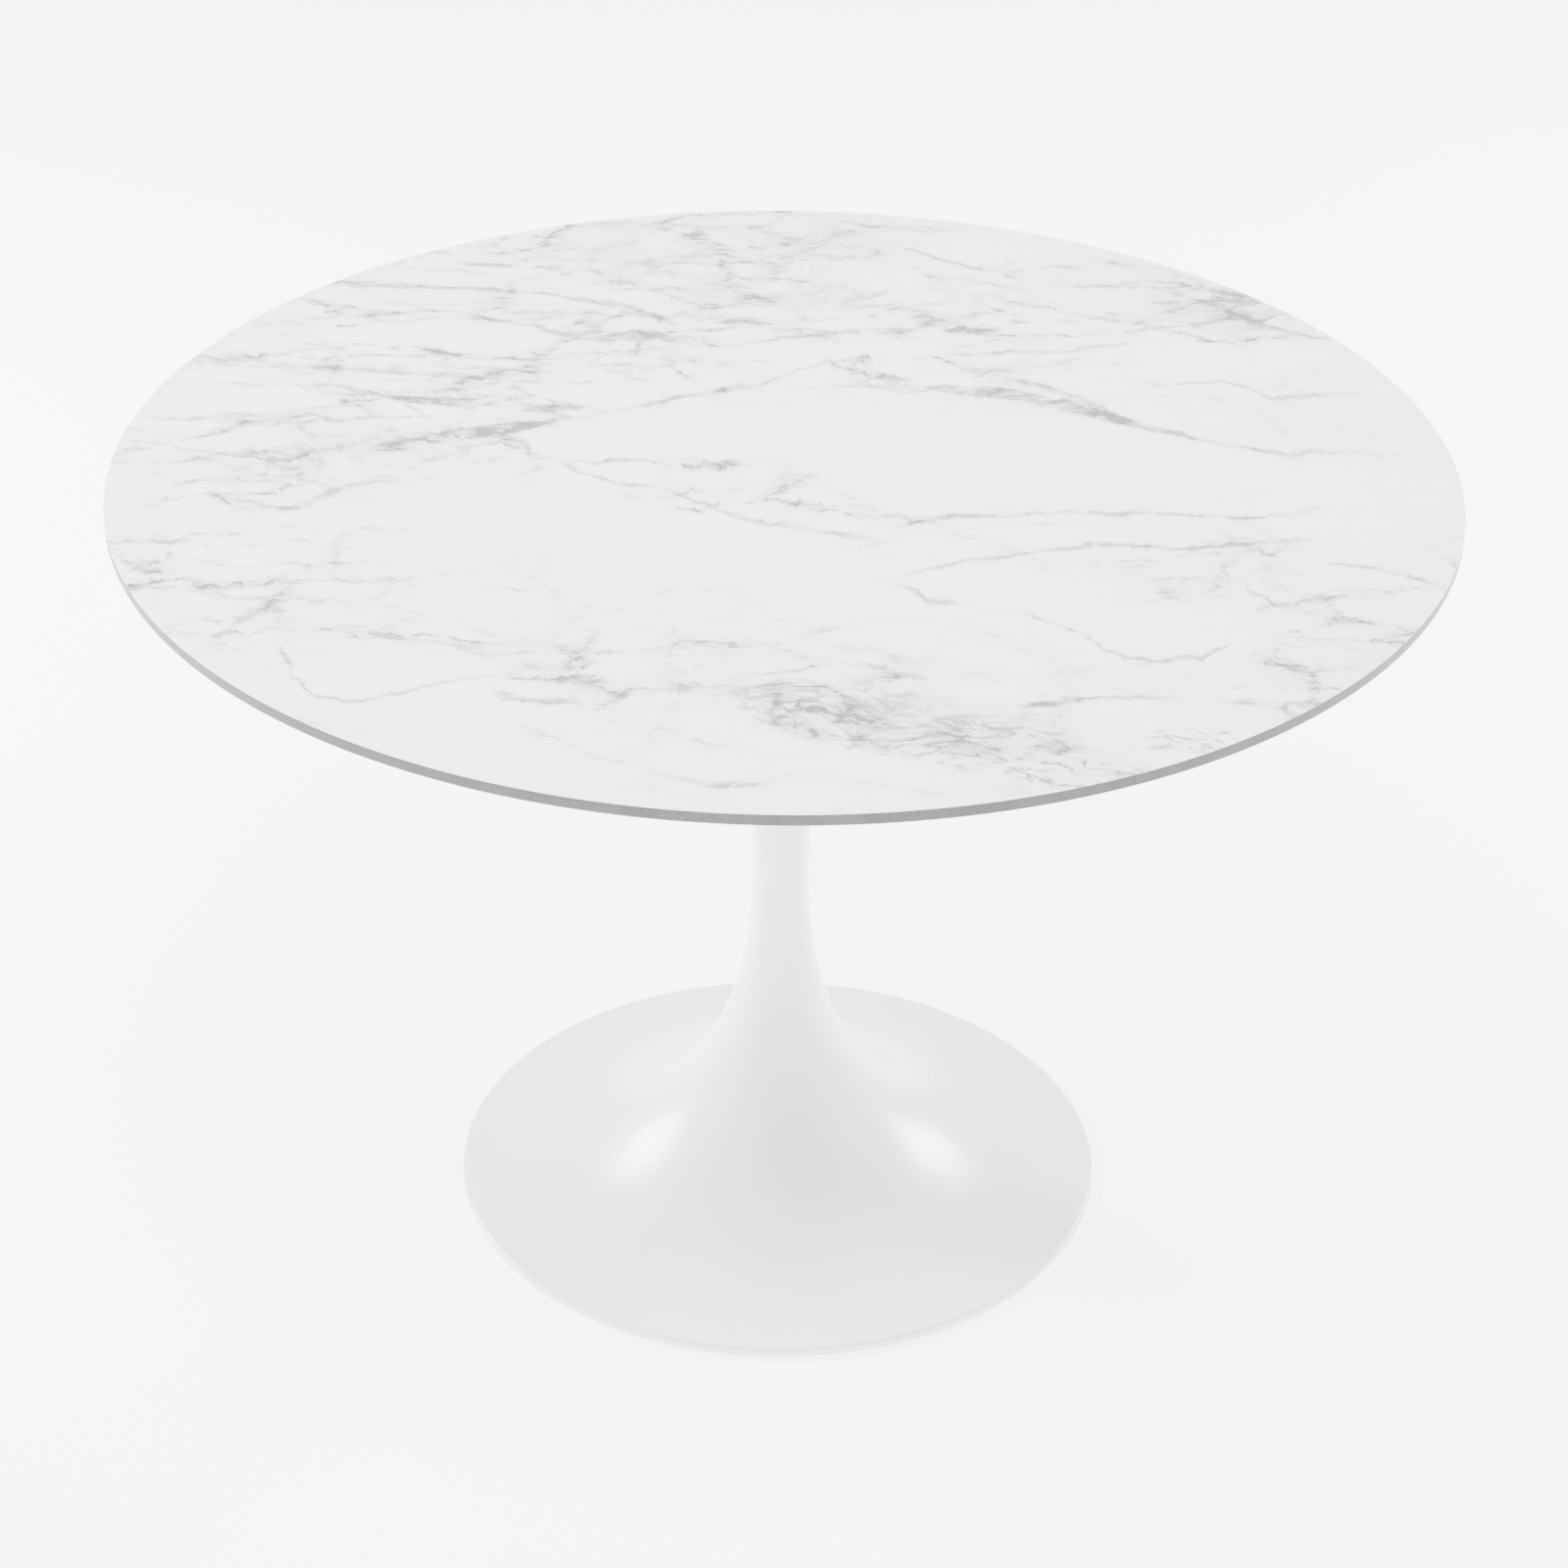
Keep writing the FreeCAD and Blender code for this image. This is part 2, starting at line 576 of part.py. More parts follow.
def foot_rib():
    """One rib along +X: stepped over the clamp plate, flat over the ballast, low at the cover."""
    side = -RIB_THICKNESS / 2
    pass_radius = BALLAST_OUTER_RADIUS + RIB_BALLAST_GAP
    end = COVER_SCREW_PITCH + COVER_PAD_RADIUS
    outline = Part.makePolygon([
        V(0, side, SEAT_Z),
        V(RIB_STEP_RADIUS, side, SEAT_Z),
        V(RIB_STEP_RADIUS, side, BALLAST_TOP_Z),
        V(BALLAST_SHOULDER_RADIUS, side, BALLAST_TOP_Z),
        V(pass_radius, side, BALLAST_EDGE_Z + RIB_BALLAST_GAP / 2),
        V(pass_radius, side, COVER_SEAT_Z),
        V(end, side, COVER_SEAT_Z),
        V(end, side, RIB_OUTER_TOP_Z),
        V(BALLAST_SHOULDER_RADIUS, side, RIB_OUTER_TOP_Z),
        V(0, side, RIB_INNER_TOP_Z),
        V(0, side, SEAT_Z),
    ])
    return Part.Face(outline).extrude(V(0, RIB_THICKNESS, 0))


def foot_frame():
    """Casting of a boss and ribs that fits the inside of the foot and takes the pull of the rod."""
    boss = rod(BOSS_RADIUS, SEAT_Z, RIB_INNER_TOP_Z)
    ballast_pad = rod(PAD_RADIUS, BALLAST_TOP_Z, RIB_OUTER_TOP_Z, PAD_PITCH_RADIUS)
    cover_pad = rod(COVER_PAD_RADIUS, COVER_SEAT_Z, RIB_OUTER_TOP_Z, COVER_SCREW_PITCH)
    arm = foot_rib().fuse([ballast_pad, cover_pad])
    star = boss.multiFuse(around(arm, RIB_COUNT)).common(inner_hollow())
    holes = [rod(ROD_HOLE_RADIUS, SEAT_Z - CLEAR, RIB_INNER_TOP_Z + CLEAR)]
    ballast_tap = tapped_hole(BALLAST_SCREW_RADIUS, BALLAST_TOP_Z, BALLAST_SCREW_ENGAGEMENT, PAD_PITCH_RADIUS)
    cover_tap = tapped_hole(COVER_SCREW_RADIUS, COVER_SEAT_Z, COVER_SCREW_ENGAGEMENT, COVER_SCREW_PITCH)
    holes += around(ballast_tap, RIB_COUNT) + around(cover_tap, RIB_COUNT)
    return star.cut(holes).removeSplitter()


def tapped_hole(radius, mouth_z, engagement, x):
    """Blind hole a little deeper than the screw that it takes."""
    return rod(radius + SCREW_CLEARANCE, mouth_z - CLEAR, mouth_z + engagement + TAP_RUNOUT, x)


# ---------------------------------------------------------------- draw rod


def draw_rod():
    """Rod with a thicker threaded length at each end."""
    return turned_points([
        at(0, ROD_BOTTOM_Z),
        at(ROD_RADIUS - ROD_CHAMFER, ROD_BOTTOM_Z),
        at(ROD_RADIUS, ROD_BOTTOM_Z + ROD_CHAMFER),
        at(ROD_RADIUS, ROD_BOTTOM_Z + ROD_FOOT_THREAD),
        at(ROD_SHANK_RADIUS, ROD_BOTTOM_Z + ROD_FOOT_THREAD + ROD_CHAMFER),
        at(ROD_SHANK_RADIUS, ROD_TOP_Z - ROD_TOP_THREAD - ROD_CHAMFER),
        at(ROD_RADIUS, ROD_TOP_Z - ROD_TOP_THREAD),
        at(ROD_RADIUS, ROD_TOP_Z - ROD_CHAMFER),
        at(ROD_RADIUS - ROD_CHAMFER, ROD_TOP_Z),
        at(0, ROD_TOP_Z),
    ])


def rod_bore():
    """Radius of what is threaded on, or slipped over, the ends of the rod."""
    return ROD_RADIUS + SCREW_CLEARANCE


def rod_nut(z0):
    """Nut on the rod with its lower face at one level."""
    nut = hexagon(ROD_NUT_FLATS, z0, z0 + ROD_NUT_HEIGHT)
    return nut.cut(rod(rod_bore(), z0 - CLEAR, z0 + ROD_NUT_HEIGHT + CLEAR))


def rod_washer(z0):
    """Washer on the rod with its lower face at one level."""
    return tube(ROD_WASHER_RADIUS, rod_bore(), z0, z0 + ROD_WASHER_HEIGHT)


def rod_top_nut():
    """Nut in the pocket of the hub."""
    return rod_nut(NUT_POCKET_Z + ROD_WASHER_HEIGHT)


def rod_top_washer():
    """Washer on the floor of the hub's pocket."""
    return rod_washer(NUT_POCKET_Z)


def rod_guide_bush():
    """Bush that centres the rod's shank in the neck, with a relief groove round it."""
    outer = LAND_RADIUS - BUSH_CLEARANCE
    bush = tube(outer, ROD_SHANK_RADIUS + BUSH_CLEARANCE, BUSH_SEAT_Z, LAND_TOP_Z)
    length = LAND_TOP_Z - BUSH_SEAT_Z
    groove = tube(outer + CLEAR, outer - CLEAR, BUSH_SEAT_Z + length / 3, LAND_TOP_Z - length / 3)
    return bush.cut(groove)


def clamp_plate():
    """Steel plate that the lower nut pulls up against the boss and the ribs."""
    plate = turned_points([
        at(0, CLAMP_BOTTOM_Z),
        at(CLAMP_RADIUS - CLAMP_CHAMFER, CLAMP_BOTTOM_Z),
        at(CLAMP_RADIUS, CLAMP_BOTTOM_Z + CLAMP_CHAMFER),
        at(CLAMP_RADIUS, SEAT_Z),
        at(0, SEAT_Z),
    ])
    return plate.cut(rod(ROD_HOLE_RADIUS, CLAMP_BOTTOM_Z - CLEAR, SEAT_Z + CLEAR))


def rod_bottom_washer():
    """Washer under the clamp plate."""
    return rod_washer(ROD_WASHER_Z)


def rod_bottom_spring_washer():
    """Spring washer between the washer and the lower nut."""
    return split_ring(ROD_SPRING_RADIUS, rod_bore(), ROD_SPRING_SLIT, ROD_SPRING_Z, ROD_WASHER_Z)


def rod_bottom_nut():
    """Nut that tightens the whole table together."""
    return rod_nut(ROD_NUT_Z)


# ---------------------------------------------------------------- ballast and cover


def ballast_ring():
    """Cast weight that follows the inside of the foot, counterbored for its screws."""
    ring = turned_points([
        at(BALLAST_INNER_RADIUS, BALLAST_BOTTOM_Z),
        at(BALLAST_OUTER_RADIUS, BALLAST_BOTTOM_Z),
        at(BALLAST_OUTER_RADIUS, BALLAST_EDGE_Z),
        at(BALLAST_SHOULDER_RADIUS, BALLAST_TOP_Z),
        at(BALLAST_INNER_RADIUS, BALLAST_TOP_Z),
    ])
    bore_top = BALLAST_BOTTOM_Z + BALLAST_BORE_DEPTH
    hole = rod(BALLAST_SCREW_HOLE_RADIUS, bore_top - CLEAR, BALLAST_TOP_Z + CLEAR, PAD_PITCH_RADIUS)
    bore = rod(BALLAST_BORE_RADIUS, BALLAST_BOTTOM_Z - CLEAR, bore_top, PAD_PITCH_RADIUS)
    return ring.cut(around(bore.fuse(hole), RIB_COUNT))


def ballast_washers():
    """Washers on the floors of the counterbores."""
    high = BALLAST_BOTTOM_Z + BALLAST_BORE_DEPTH
    inner = BALLAST_SCREW_RADIUS + SCREW_CLEARANCE
    washer = tube(BALLAST_WASHER_RADIUS, inner, high - BALLAST_WASHER_HEIGHT, high, PAD_PITCH_RADIUS)
    return Part.makeCompound(around(washer, RIB_COUNT))


def ballast_screws():
    """Screws that hold the ballast up to its pads."""
    seat = BALLAST_BOTTOM_Z + BALLAST_BORE_DEPTH - BALLAST_WASHER_HEIGHT
    end = BALLAST_TOP_Z + BALLAST_SCREW_ENGAGEMENT
    head = hexagon(BALLAST_SCREW_FLATS, seat - BALLAST_SCREW_HEAD, seat, PAD_PITCH_RADIUS)
    screw = head.fuse(rod(BALLAST_SCREW_RADIUS, seat, end, PAD_PITCH_RADIUS))
    return Part.makeCompound(around(screw, RIB_COUNT))


def base_cover():
    """Thin disc that closes the foot from below."""
    cover = rod(COVER_RECESS_RADIUS - COVER_CLEARANCE, COVER_SEAT_Z - COVER_THICKNESS, COVER_SEAT_Z)
    hole = rod(
        COVER_SCREW_RADIUS + SCREW_CLEARANCE,
        COVER_SEAT_Z - COVER_THICKNESS - CLEAR,
        COVER_SEAT_Z + CLEAR,
        COVER_SCREW_PITCH,
    )
    return cover.cut(around(hole, RIB_COUNT))


def base_cover_screws():
    """Slotted screws that hold the cover."""
    x = COVER_SCREW_PITCH
    seat = COVER_SEAT_Z - COVER_THICKNESS
    low = seat - COVER_SCREW_HEAD_HEIGHT
    screw = rod(COVER_SCREW_HEAD_RADIUS, low, seat, x)
    screw = screw.fuse(rod(COVER_SCREW_RADIUS, seat, COVER_SEAT_Z + COVER_SCREW_ENGAGEMENT, x))
    slot = Part.makeBox(
        2 * COVER_SCREW_HEAD_RADIUS + CLEAR,
        COVER_SCREW_SLOT,
        CLEAR + COVER_SCREW_SLOT_DEPTH,
        V(x - COVER_SCREW_HEAD_RADIUS - CLEAR / 2, -COVER_SCREW_SLOT / 2, low - CLEAR),
    )
    return Part.makeCompound(around(screw.cut(slot), RIB_COUNT))


PIECES = {
    "marble_laminate": marble_laminate,
    "edge_band": edge_band,
    "top_core": top_core,
    "balancing_sheet": balancing_sheet,
    "threaded_inserts": lambda: on_arms(threaded_insert),
    "mounting_spider": mounting_spider,
    "spider_bolts": lambda: on_arms(spider_bolt),
    "spider_spring_washers": lambda: on_arms(spider_spring_washer),
    "spider_washers": lambda: on_arms(spider_washer),
    "neck_gasket": neck_gasket,
    "dowel_pins": dowel_pins,
    "pedestal_shell": pedestal_shell,
    "foot_frame": foot_frame,
    "draw_rod": draw_rod,
    "rod_top_nut": rod_top_nut,
    "rod_top_washer": rod_top_washer,
    "rod_guide_bush": rod_guide_bush,
    "clamp_plate": clamp_plate,
    "rod_bottom_washer": rod_bottom_washer,
    "rod_bottom_spring_washer": rod_bottom_spring_washer,
    "rod_bottom_nut": rod_bottom_nut,
    "ballast_ring": ballast_ring,
    "ballast_washers": ballast_washers,
    "ballast_screws": ballast_screws,
    "base_cover": base_cover,
    "base_cover_screws": base_cover_screws,
    "glide_ring": glide_ring,
}


def main():
    """Write each piece to its own file."""
    os.makedirs("parts", exist_ok=True)
    for name, make in PIECES.items():
        make().exportStep(f"parts/{name}.step")


main()
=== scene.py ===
"""Looks of a round pedestal table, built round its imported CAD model.

Lengths are in metres. The origin is on the floor at the table's axis and +Z is up.
"""

import json
import logging
import math
from dataclasses import dataclass
from enum import Enum
from typing import Sequence

import bmesh
import bpy
from mathutils import Matrix, Vector


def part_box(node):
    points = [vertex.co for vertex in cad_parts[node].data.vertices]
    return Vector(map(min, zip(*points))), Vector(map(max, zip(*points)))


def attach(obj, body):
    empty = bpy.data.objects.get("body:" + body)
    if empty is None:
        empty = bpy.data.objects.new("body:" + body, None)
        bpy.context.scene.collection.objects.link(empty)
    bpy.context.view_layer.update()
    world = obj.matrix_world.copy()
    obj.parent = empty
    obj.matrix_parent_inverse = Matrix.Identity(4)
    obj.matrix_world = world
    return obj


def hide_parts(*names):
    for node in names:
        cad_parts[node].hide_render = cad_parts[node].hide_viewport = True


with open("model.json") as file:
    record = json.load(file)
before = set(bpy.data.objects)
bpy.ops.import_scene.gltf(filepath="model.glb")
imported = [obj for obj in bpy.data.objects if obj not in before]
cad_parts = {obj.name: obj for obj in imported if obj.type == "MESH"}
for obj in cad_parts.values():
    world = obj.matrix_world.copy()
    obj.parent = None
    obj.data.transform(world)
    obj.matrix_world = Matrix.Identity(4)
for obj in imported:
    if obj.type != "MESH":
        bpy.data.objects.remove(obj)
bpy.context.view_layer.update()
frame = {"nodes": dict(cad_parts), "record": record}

BODY = "root"
MM = 0.001
FINE_STEPS = 256
TINY = 1.0e-6
SMALL_STEPS = 48
LOG = logging.getLogger("table")

Point = tuple[float, float]
Colour = tuple[float, float, float]


# ------------------------------------------------------------------ shader expressions


class Signal:
    """A number socket of a shader that takes part in Python expressions."""

    def __init__(self, graph: "Graph", socket: bpy.types.NodeSocket) -> None:
        """Wrap one output socket.

        Args:
            graph: the node graph that the socket belongs to.
            socket: the output socket.
        """
        self.graph = graph
        self.socket = socket

    def _math(self, operation: str, *values: "Signal | float") -> "Signal":
        """Add one Math node.

        Args:
            operation: the node's operation.
            values: its inputs, in order.

        Returns:
            The result.
        """
        return self.graph.node("ShaderNodeMath", {"operation": operation}, dict(enumerate(values)))

    def __add__(self, other: "Signal | float") -> "Signal":
        """Sum."""
        return self._math("ADD", self, other)

    __radd__ = __add__

    def __sub__(self, other: "Signal | float") -> "Signal":
        """Difference."""
        return self._math("SUBTRACT", self, other)

    def __rsub__(self, other: float) -> "Signal":
        """Difference from a number."""
        return self._math("SUBTRACT", other, self)

    def __mul__(self, other: "Signal | float") -> "Signal":
        """Product."""
        return self._math("MULTIPLY", self, other)

    __rmul__ = __mul__

    def __abs__(self) -> "Signal":
        """Size without sign."""
        return self._math("ABSOLUTE", self)

    def scaled(self, factor: float, offset: float) -> "Signal":
        """The signal times a factor, plus an offset."""
        return self._math("MULTIPLY_ADD", self, factor, offset)

    def at_most(self, other: "Signal | float") -> "Signal":
        """The smaller of the two."""
        return self._math("MINIMUM", self, other)

    def at_least(self, other: "Signal | float") -> "Signal":
        """The larger of the two."""
        return self._math("MAXIMUM", self, other)

    def fade(
        self, start: "Signal | float", end: "Signal | float", low: float = 0.0, high: float = 1.0
    ) -> "Signal":
        """Smooth step from one value to another.

        Args:
            start: where the step starts.
            end: where it ends.
            low: value at the start and before it.
            high: value at the end and after it.

        Returns:
            The stepped signal.
        """
        values = {"Value": self, "From Min": start, "From Max": end, "To Min": low, "To Max": high}
        return self.graph.node("ShaderNodeMapRange", {"interpolation_type": "SMOOTHSTEP"}, values)

    def spread(self, start: float, end: float) -> "Signal":
        """Straight rise from 0 at start to 1 at end, held level outside them."""
        values = {"Value": self, "From Min": start, "From Max": end}
        return self.graph.node("ShaderNodeMapRange", {"clamp": True}, values)


class Graph:
    """The nodes of one material.

    MIX_COLOURS and MIX_RESULT are the places of the colour sockets of a Mix node.
    """

    MIX_COLOURS = (6, 7)
    MIX_RESULT = 2

    def __init__(self, name: str) -> None:
        """Make an empty material with a Principled shader.

        Args:
            name: the material's name.
        """
        self.material = bpy.data.materials.new(name)
        self.material.use_nodes = True
        self.tree = self.material.node_tree
        self.tree.nodes.clear()
        self.shader = self.tree.nodes.new("ShaderNodeBsdfPrincipled")
        self.output = self.tree.nodes.new("ShaderNodeOutputMaterial")
        self.tree.links.new(self.shader.outputs["BSDF"], self.output.inputs["Surface"])

    def _feed(self, socket: bpy.types.NodeSocket, value: object) -> None:
        """Link a signal or a socket to an input, or set the input's own value.

        Args:
            socket: the input.
            value: a Signal, an output socket, a number or a tuple.
        """
        if isinstance(value, Signal):
            value = value.socket
        if isinstance(value, bpy.types.NodeSocket):
            self.tree.links.new(value, socket)
        else:
            socket.default_value = value

    def node(
        self,
        kind: str,
        settings: dict[str, object] | None = None,
        inputs: dict[int | str, object] | None = None,
        output: int | str = 0,
        stops: Sequence[tuple[float, Sequence[float]]] = (),
    ) -> Signal:
        """Add any node.

        Args:
            kind: the node's type.
            settings: its properties, set before its sockets.
            inputs: values or links by socket name or index.
            output: which output to give back.
            stops: the places and colours of a ramp's stops.

        Returns:
            The chosen output.
        """
        made = self.tree.nodes.new(kind)
        for name, value in (settings or {}).items():
            setattr(made, name, value)
        for index, (place, colour) in enumerate(stops):
            elements = made.color_ramp.elements
            stop = elements[index] if index < 2 else elements.new(place)
            stop.position = place
            stop.color = (*colour, 1.0)
        for name, value in (inputs or {}).items():
            self._feed(made.inputs[name], value)
        return Signal(self, made.outputs[output])

    def place(self) -> Signal:
        """Object coordinates, in metres."""
        return self.node("ShaderNodeTexCoord", output="Object")

    def vector(self, operation: str, first: object, second: object) -> Signal:
        """Vector Math of two vectors.

        Args:
            operation: the node's operation.
            first: the first vector.
            second: the second vector.

        Returns:
            The resulting vector.
        """
        return self.node("ShaderNodeVectorMath", {"operation": operation}, {0: first, 1: second})

    def parts(self, vector: Signal) -> tuple[Signal, Signal, Signal]:
        """X, Y and Z of a vector."""
        x = self.node("ShaderNodeSeparateXYZ", inputs={0: vector}, output="X")
        outputs = x.socket.node.outputs
        return x, Signal(self, outputs["Y"]), Signal(self, outputs["Z"])

    def noise(self, place: Signal, scale: float, detail: float = 2.0, roughness: float = 0.5) -> Signal:
        """Noise from 0 to 1 on a place."""
        values = {"Vector": place, "Scale": scale, "Detail": detail, "Roughness": roughness}
        return self.node("ShaderNodeTexNoise", {"noise_dimensions": "3D"}, values, "Fac")

    def stretched(self, place: Signal, factors: Colour) -> Signal:
        """A place scaled by a factor on each axis."""
        return self.vector("MULTIPLY", place, factors)

    def framed(
        self, place: Signal, turn: float, centre: Colour = (0.0, 0.0, 0.0), size: Colour = (1.0, 1.0, 1.0)
    ) -> Signal:
        """A place seen from a frame of its own.

        Args:
            place: the place.
            turn: the frame's turn about Z, in degrees.
            centre: the frame's centre.
            size: the frame's unit on each axis.

        Returns:
            The place in that frame.
        """
        rotation = (0.0, 0.0, math.radians(turn))
        values = {"Vector": place, "Location": centre, "Rotation": rotation, "Scale": size}
        return self.node("ShaderNodeMapping", {"vector_type": "TEXTURE"}, values)

    def moved(self, place: Signal, scale: float, reach: float) -> Signal:
        """A place pushed about by noise.

        Args:
            place: the place to move.
            scale: scale of the noise.
            reach: the furthest move, in metres.

        Returns:
            The moved place.
        """
        values = {"Vector": place, "Scale": scale, "Detail": 2.0}
        colour = self.node("ShaderNodeTexNoise", {"noise_dimensions": "3D"}, values, "Color")
        centred = self.vector("SUBTRACT", colour, (0.5, 0.5, 0.5))
        push = self.vector("MULTIPLY", centred, (2 * reach, 2 * reach, 0.0))
        return self.vector("ADD", place, push)

    def warped(self, place: Signal, steps: Sequence[Point]) -> Signal:
        """A place pushed about by several noises, each given by its scale and its reach."""
        for scale, reach in steps:
            place = self.moved(place, scale, reach)
        return place

    def cracks(self, place: Signal) -> Signal:
        """Distance to the nearest border of a net of cells one unit wide."""
        settings = {"feature": "DISTANCE_TO_EDGE", "voronoi_dimensions": "2D"}
        return self.node("ShaderNodeTexVoronoi", settings, {"Vector": place, "Scale": 1.0}, "Distance")

    def blend(self, factor: Signal, first: Signal | Colour, second: Signal | Colour) -> Signal:
        """Mix two colours.

        Args:
            factor: 0 for the first, 1 for the second.
            first: the first colour.
            second: the second colour.

        Returns:
            The mixed colour.
        """
        pair = [(*colour, 1.0) if isinstance(colour, tuple) else colour for colour in (first, second)]
        values = {0: factor, self.MIX_COLOURS[0]: pair[0], self.MIX_COLOURS[1]: pair[1]}
        return self.node("ShaderNodeMix", {"data_type": "RGBA"}, values, self.MIX_RESULT)

    def see_through(self, factor: Signal) -> None:
        """Mix the surface with a clear one, which is all there is where the factor is 1."""
        clear = self.node("ShaderNodeBsdfTransparent")
        values = {0: factor, 1: self.shader.outputs["BSDF"], 2: clear}
        mixed = self.node("ShaderNodeMixShader", inputs=values)
        self.tree.links.new(mixed.socket, self.output.inputs["Surface"])

    def relief(self, height: Signal, depth: float, strength: float = 1.0) -> None:
        """Raise the surface by a height signal.

        Args:
            height: the height from 0 to 1.
            depth: what a height of 1 stands for, in metres.
            strength: how much of the effect shows.
        """
        values = {"Height": height, "Distance": depth, "Strength": strength}
        self.surface(Normal=self.node("ShaderNodeBump", inputs=values))

    def surface(self, **values: object) -> None:
        """Set or link the shader's sockets, underscores standing for spaces."""
        for name, value in values.items():
            if isinstance(value, tuple) and len(value) == 3:
                value = (*value, 1.0)
            self._feed(self.shader.inputs[name.replace("_", " ")], value)


# ------------------------------------------------------------------ finishes


class Grain(Enum):
    """How the texture of a finish runs, as factors on the three axes."""

    EVEN = (1.0, 1.0, 1.0)
    FLAT_FIBRES = (1.0, 1.0, 6.0)
    UPRIGHT_DRAWN = (8.0, 8.0, 0.4)


@dataclass(frozen=True)
class Finish:
    """A plain finish whose colour, gloss and relief vary gently over it."""

    name: str
    colour: Colour
    second_colour: Colour
    roughness: Point
    metallic: float = 0.0
    patch_scale: float = 30.0
    grain_scale: float = 600.0
    relief_depth: float = 0.00005
    specular: float = 0.5
    grain: Grain = Grain.EVEN

    def build(self) -> bpy.types.Material:
        """Make the material."""
        graph = Graph(self.name)
        place = graph.stretched(graph.place(), self.grain.value)
        patches = graph.noise(place, self.patch_scale, 3.0)
        grain = graph.noise(place, self.grain_scale, 2.0, 0.6)
        mixed = (patches * 0.6 + grain * 0.4).fade(0.3, 0.7)
        low, high = self.roughness
        graph.surface(
            Base_Color=graph.blend(mixed, self.colour, self.second_colour),
            Roughness=mixed * (high - low) + low,
            Metallic=self.metallic,
            Specular_IOR_Level=self.specular,
        )
        graph.relief(grain, self.relief_depth)
        return graph.material


@dataclass(frozen=True)
class SatinPaint:
    """White satin paint over a smooth casting, with a faint flow texture."""

    name: str = "white_satin_paint"
    colour: Colour = (0.80, 0.80, 0.80)
    shaded_colour: Colour = (0.775, 0.775, 0.775)
    roughness: Point = (0.25, 0.31)
    cloud_scale: float = 9.0
    flow_scale: float = 260.0
    flow_depth: float = 0.00003

    def build(self) -> bpy.types.Material:
        """Make the material."""
        graph = Graph(self.name)
        place = graph.place()
        cloud = graph.noise(place, self.cloud_scale, 2.0)
        flow = graph.noise(place, self.flow_scale, 1.0)
        low, high = self.roughness
        graph.surface(
            Base_Color=graph.blend(cloud.fade(0.35, 0.65), self.colour, self.shaded_colour),
            Roughness=cloud * (high - low) + low,
            Coat_Weight=0.35,
            Coat_Roughness=0.22,
        )
        graph.relief(flow, self.flow_depth, 0.35)
        return graph.material


@dataclass(frozen=True)
class EdgeGrey:
    """Grey edge of the top: faint upright mottling and a painted shade line at each arris, standing in for
    the dark reflection on the eased arrises.
    """

    low_z: float
    high_z: float
    name: str = "edge_grey"
    colour: Colour = (0.042, 0.042, 0.042)
    light_colour: Colour = (0.072, 0.072, 0.072)
    # colour of the painted arris shade, then the height of that painted band at each arris
    painted_arris_shade_colour: Colour = (0.022, 0.022, 0.022)
    painted_arris_shade_height: float = 0.0009

    def build(self) -> bpy.types.Material:
        """Make the material."""
        graph = Graph(self.name)
        place = graph.place()
        clouds = graph.noise(place, 28.0, 4.0, 0.6)
        fine = graph.noise(graph.stretched(place, (1.0, 1.0, 0.35)), 420.0, 2.0)
        mottled = (clouds * 0.7 + fine * 0.3).fade(0.38, 0.66)
        _, _, z = graph.parts(place)
        # lower and upper mask the painted shade line along the lower and the upper arris
        lower = z.fade(self.low_z + self.painted_arris_shade_height, self.low_z)
        upper = z.fade(self.high_z - self.painted_arris_shade_height, self.high_z)
        body = graph.blend(mottled, self.colour, self.light_colour)
        # line is the painted arris shade, a painted dark reflection that is fullest at the lower arris
        line = (lower + upper * 0.6).at_most(1.0) * 0.7
        graph.surface(
            Base_Color=graph.blend(line, body, self.painted_arris_shade_colour),
            Roughness=mottled * 0.12 + 0.42,
        )
        graph.relief(fine, 0.00004, 0.5)
        return graph.material


@dataclass(frozen=True)
class VeinTexture:
    """What breaks up every vein: the strength of its body, of its outline and of the shade beside it."""

    body: Signal
    outline: Signal
    shade: Signal


@dataclass(frozen=True)
class Vein:
    """One vein of the marble.

    Each station holds its X, its Y, the vein's half width there, all in millimetres, and its darkness
    from 0 to 1.
    """

    stations: tuple[tuple[float, float, float, float], ...]

    REACH = 650.0
    WIDEST = 40.0
    OUTLINE = 0.0024
    SHADE = 0.008

    def darkness(self, graph: Graph, x: Signal, y: Signal, texture: VeinTexture) -> Signal:
        """Darkness of the vein.

        Args:
            graph: the marble's graph.
            x: place along X in metres, already warped.
            y: place along Y in metres, already warped.
            texture: what breaks up the vein.

        Returns:
            Darkness from 0 to about 1.
        """
        start, end = self.stations[0][0], self.stations[-1][0]
        stops = []
        for distance, offset, half_width, dark in self.stations:
            packed = (offset / (2 * self.REACH) + 0.5, half_width / self.WIDEST, dark)
            stops.append(((distance - start) / (end - start), packed))
        progress = {"Fac": x.spread(start * MM, end * MM)}
        ramp = graph.node("ShaderNodeValToRGB", {}, progress, "Color", stops)
        middle, width, dark = graph.parts(ramp)
        middle = middle.scaled(2 * self.REACH * MM, -self.REACH * MM)
        width = width * (self.WIDEST * MM)
        away = abs(y - middle)
        body = away.fade(width * 1.15, width * 0.55)
        outline = abs(away - width * 0.85).fade(self.OUTLINE, 0.0)
        shade = away.fade(width.scaled(2.0, self.SHADE), 0.0)
        return (body * texture.body + outline * texture.outline + shade * shade * texture.shade) * dark


